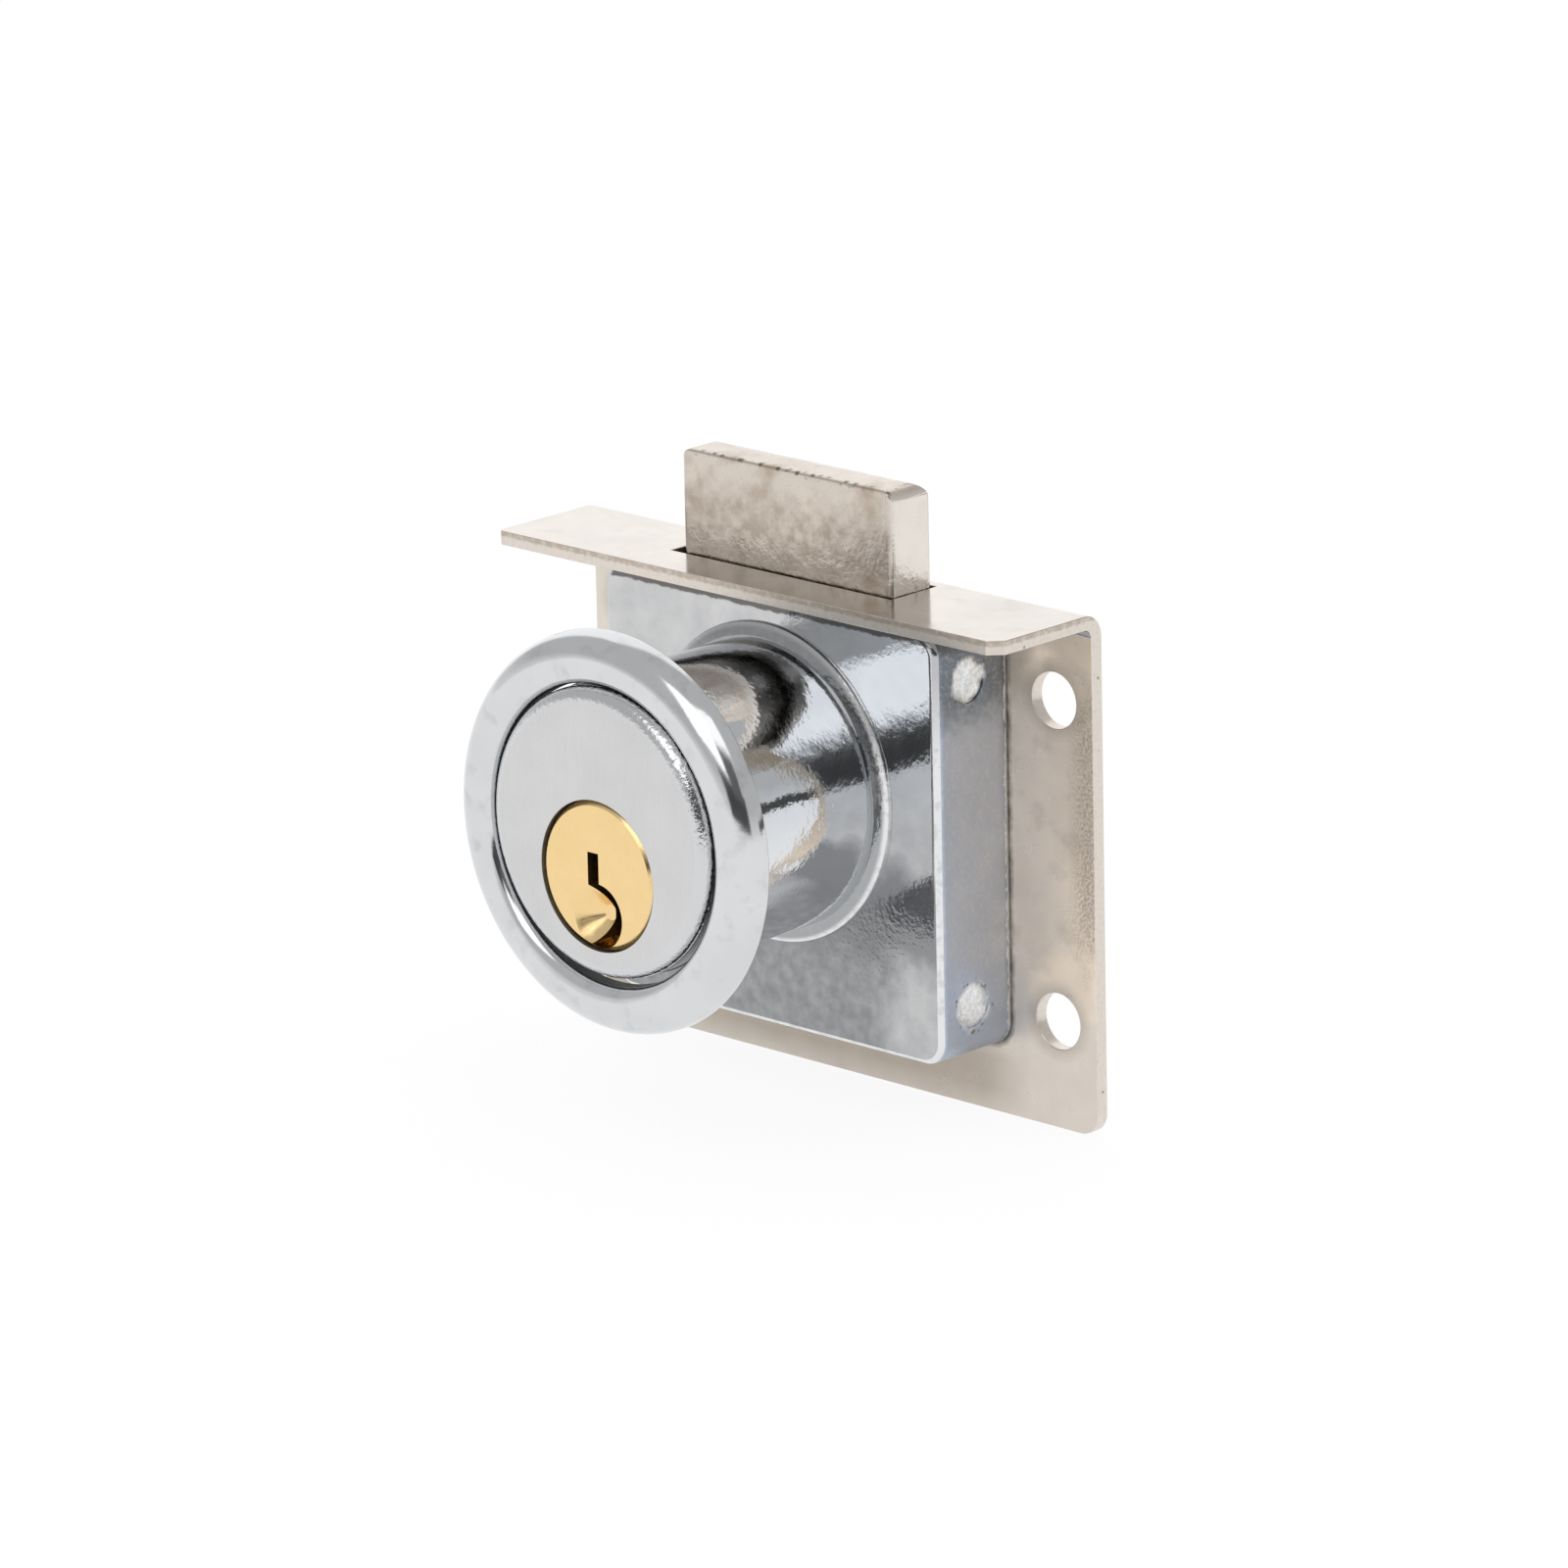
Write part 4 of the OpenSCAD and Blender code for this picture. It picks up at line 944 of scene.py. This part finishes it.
# An open clip in the plug's neck keeps it in the housing. The crank is a stamped steel plate on the
# plug's tail, and the pin pressed into it lifts the bolt. Both are zinc plated.
zinc_plated, tree, shader = metal("zinc_plated_steel", (0.60, 0.59, 0.55), 0.3)
cloud = grain(tree, 1.5, 4)
tree.links.new(tinted(tree, cloud, (0.52, 0.52, 0.50), (0.68, 0.66, 0.60)), shader.inputs["Base Color"])
tree.links.new(ranged(tree, cloud, 0.3, 0.7, 0.24, 0.4), shader.inputs["Roughness"])
refinished("plug_clip", spring_steel)
refinished("drive_cam", zinc_plated)
refinished("drive_pin", zinc_plated)

# The lock stands on a white table in a white studio. Large soft cards light it from the front, the
# right and behind on the left. The dark ones stand for the camera with its stand, which the lock
# mirrors, and for the table's far edge, which shows in its side faces.
studio_grey = 0.58
horizon = (0.22, -0.03)
card_rim = (0.36, 0.5)
table_reach = 4
table_gap = 0.1 * MM
table_glow = 1.02
glow_share = 0.88


def card(name, brightness, azimuth, elevation, width, height, distance=1.0):
    """Plain card seen only in reflections. The azimuth runs from the front towards the right."""
    finish = bpy.data.materials.new(name)
    finish.use_nodes = True
    tree = finish.node_tree
    tree.nodes.clear()
    glow = wired(tree, "ShaderNodeEmission", values={"Strength": brightness})
    clear = wired(tree, "ShaderNodeBsdfTransparent")
    spread = wired(tree, "ShaderNodeTexCoord").outputs["UV"]
    middle = wired(tree, "ShaderNodeVectorMath", {"operation": "SUBTRACT"}, {1: (0.5, 0.5, 0)}, {0: spread})
    off = wired(tree, "ShaderNodeVectorMath", {"operation": "ABSOLUTE"}, links={0: middle.outputs[0]})
    split = wired(tree, "ShaderNodeSeparateXYZ", links={0: off.outputs[0]})
    furthest = combined(tree, "MAXIMUM", split.outputs[0], split.outputs[1])
    edge = ranged(tree, furthest, *card_rim)
    surface = wired(tree, "ShaderNodeMixShader", links={0: edge, 1: glow.outputs[0], 2: clear.outputs[0]})
    wired(tree, "ShaderNodeOutputMaterial", links={0: surface.outputs[0]})
    mesh = bpy.data.meshes.new(name)
    corners = [(-width / 2, -height / 2, 0), (width / 2, -height / 2, 0),
               (width / 2, height / 2, 0), (-width / 2, height / 2, 0)]
    mesh.from_pydata(corners, [], [(0, 1, 2, 3)])
    mesh.uv_layers.new(name="UVMap")
    for corner, uv in zip(mesh.uv_layers[0].data, ((0, 0), (1, 0), (1, 1), (0, 1))):
        corner.uv = uv
    mesh.materials.append(finish)
    piece = bpy.data.objects.new(name, mesh)
    scene.collection.objects.link(piece)
    across = math.radians(azimuth)
    up = math.radians(elevation)
    direction = Vector((math.sin(across) * math.cos(up), -math.cos(across) * math.cos(up), math.sin(up)))
    piece.rotation_mode = "QUATERNION"
    piece.rotation_quaternion = direction.to_track_quat("Z", "Y")
    piece.location = direction * distance
    piece.visible_camera = False
    piece.visible_shadow = False
    piece.visible_diffuse = False


card("softbox_front", 1.7, 20, 43, 0.72, 0.76)
card("softbox_right", 1.4, 66, 54, 0.56, 0.46)
card("sheet_behind", 1.15, -134, 28, 1.2, 1.7)
card("camera_and_stand", 0.08, 47, 12, 1.1, 0.36, 0.9)
card("stand_head", 0.15, 57, 28, 0.46, 0.4, 0.85)
card("table_edge", 0.08, 132, 3.5, 0.9, 0.11)

floor_mesh = bpy.data.meshes.new("white_table")
corners = [(table_reach * x, table_reach * y, 0) for x, y in ((-1, -1), (1, -1), (1, 1), (-1, 1))]
floor_mesh.from_pydata(corners, [], [(0, 1, 2, 3)])
floor = bpy.data.objects.new("white_table", floor_mesh)
scene.collection.objects.link(floor)
floor.location = (0, 0, cad_box[0].z - table_gap)
table_white = bpy.data.materials.new("table_white")
table_white.use_nodes = True
tree = table_white.node_tree
matt = tree.nodes["Principled BSDF"]
matt.inputs["Base Color"].default_value = (0.95, 0.95, 0.95, 1)
matt.inputs["Roughness"].default_value = 1
white = wired(tree, "ShaderNodeEmission", values={"Strength": table_glow})
ray = wired(tree, "ShaderNodeLightPath")
seen = combined(tree, "MAXIMUM", ray.outputs["Is Camera Ray"], ray.outputs["Is Glossy Ray"])
share = times(tree, seen, glow_share)
mixed = wired(tree, "ShaderNodeMixShader", links={0: share, 1: matt.outputs[0], 2: white.outputs[0]})
tree.links.new(mixed.outputs[0], tree.nodes["Material Output"].inputs[0])
floor_mesh.materials.append(table_white)

studio = bpy.data.worlds.new("studio")
scene.world = studio
studio.use_nodes = True
tree = studio.node_tree
walls = tree.nodes["Background"]
sky = wired(tree, "ShaderNodeSeparateXYZ", links={0: wired(tree, "ShaderNodeTexCoord").outputs["Generated"]})
low = ranged(tree, sky.outputs["Z"], *horizon)
grey = (studio_grey, studio_grey, studio_grey)
tree.links.new(tinted(tree, low, grey, (0.9, 0.9, 0.9)), walls.inputs["Color"])
backdrop = wired(tree, "ShaderNodeBackground", values={"Color": (1, 1, 1, 1)})
ray = wired(tree, "ShaderNodeLightPath")
plain = combined(tree, "MAXIMUM", ray.outputs["Is Camera Ray"], ray.outputs["Is Diffuse Ray"])
mixed = wired(tree, "ShaderNodeMixShader", links={0: plain, 1: walls.outputs[0], 2: backdrop.outputs[0]})
tree.links.new(mixed.outputs[0], tree.nodes["World Output"].inputs[0])

scene.view_settings.view_transform = "Standard"
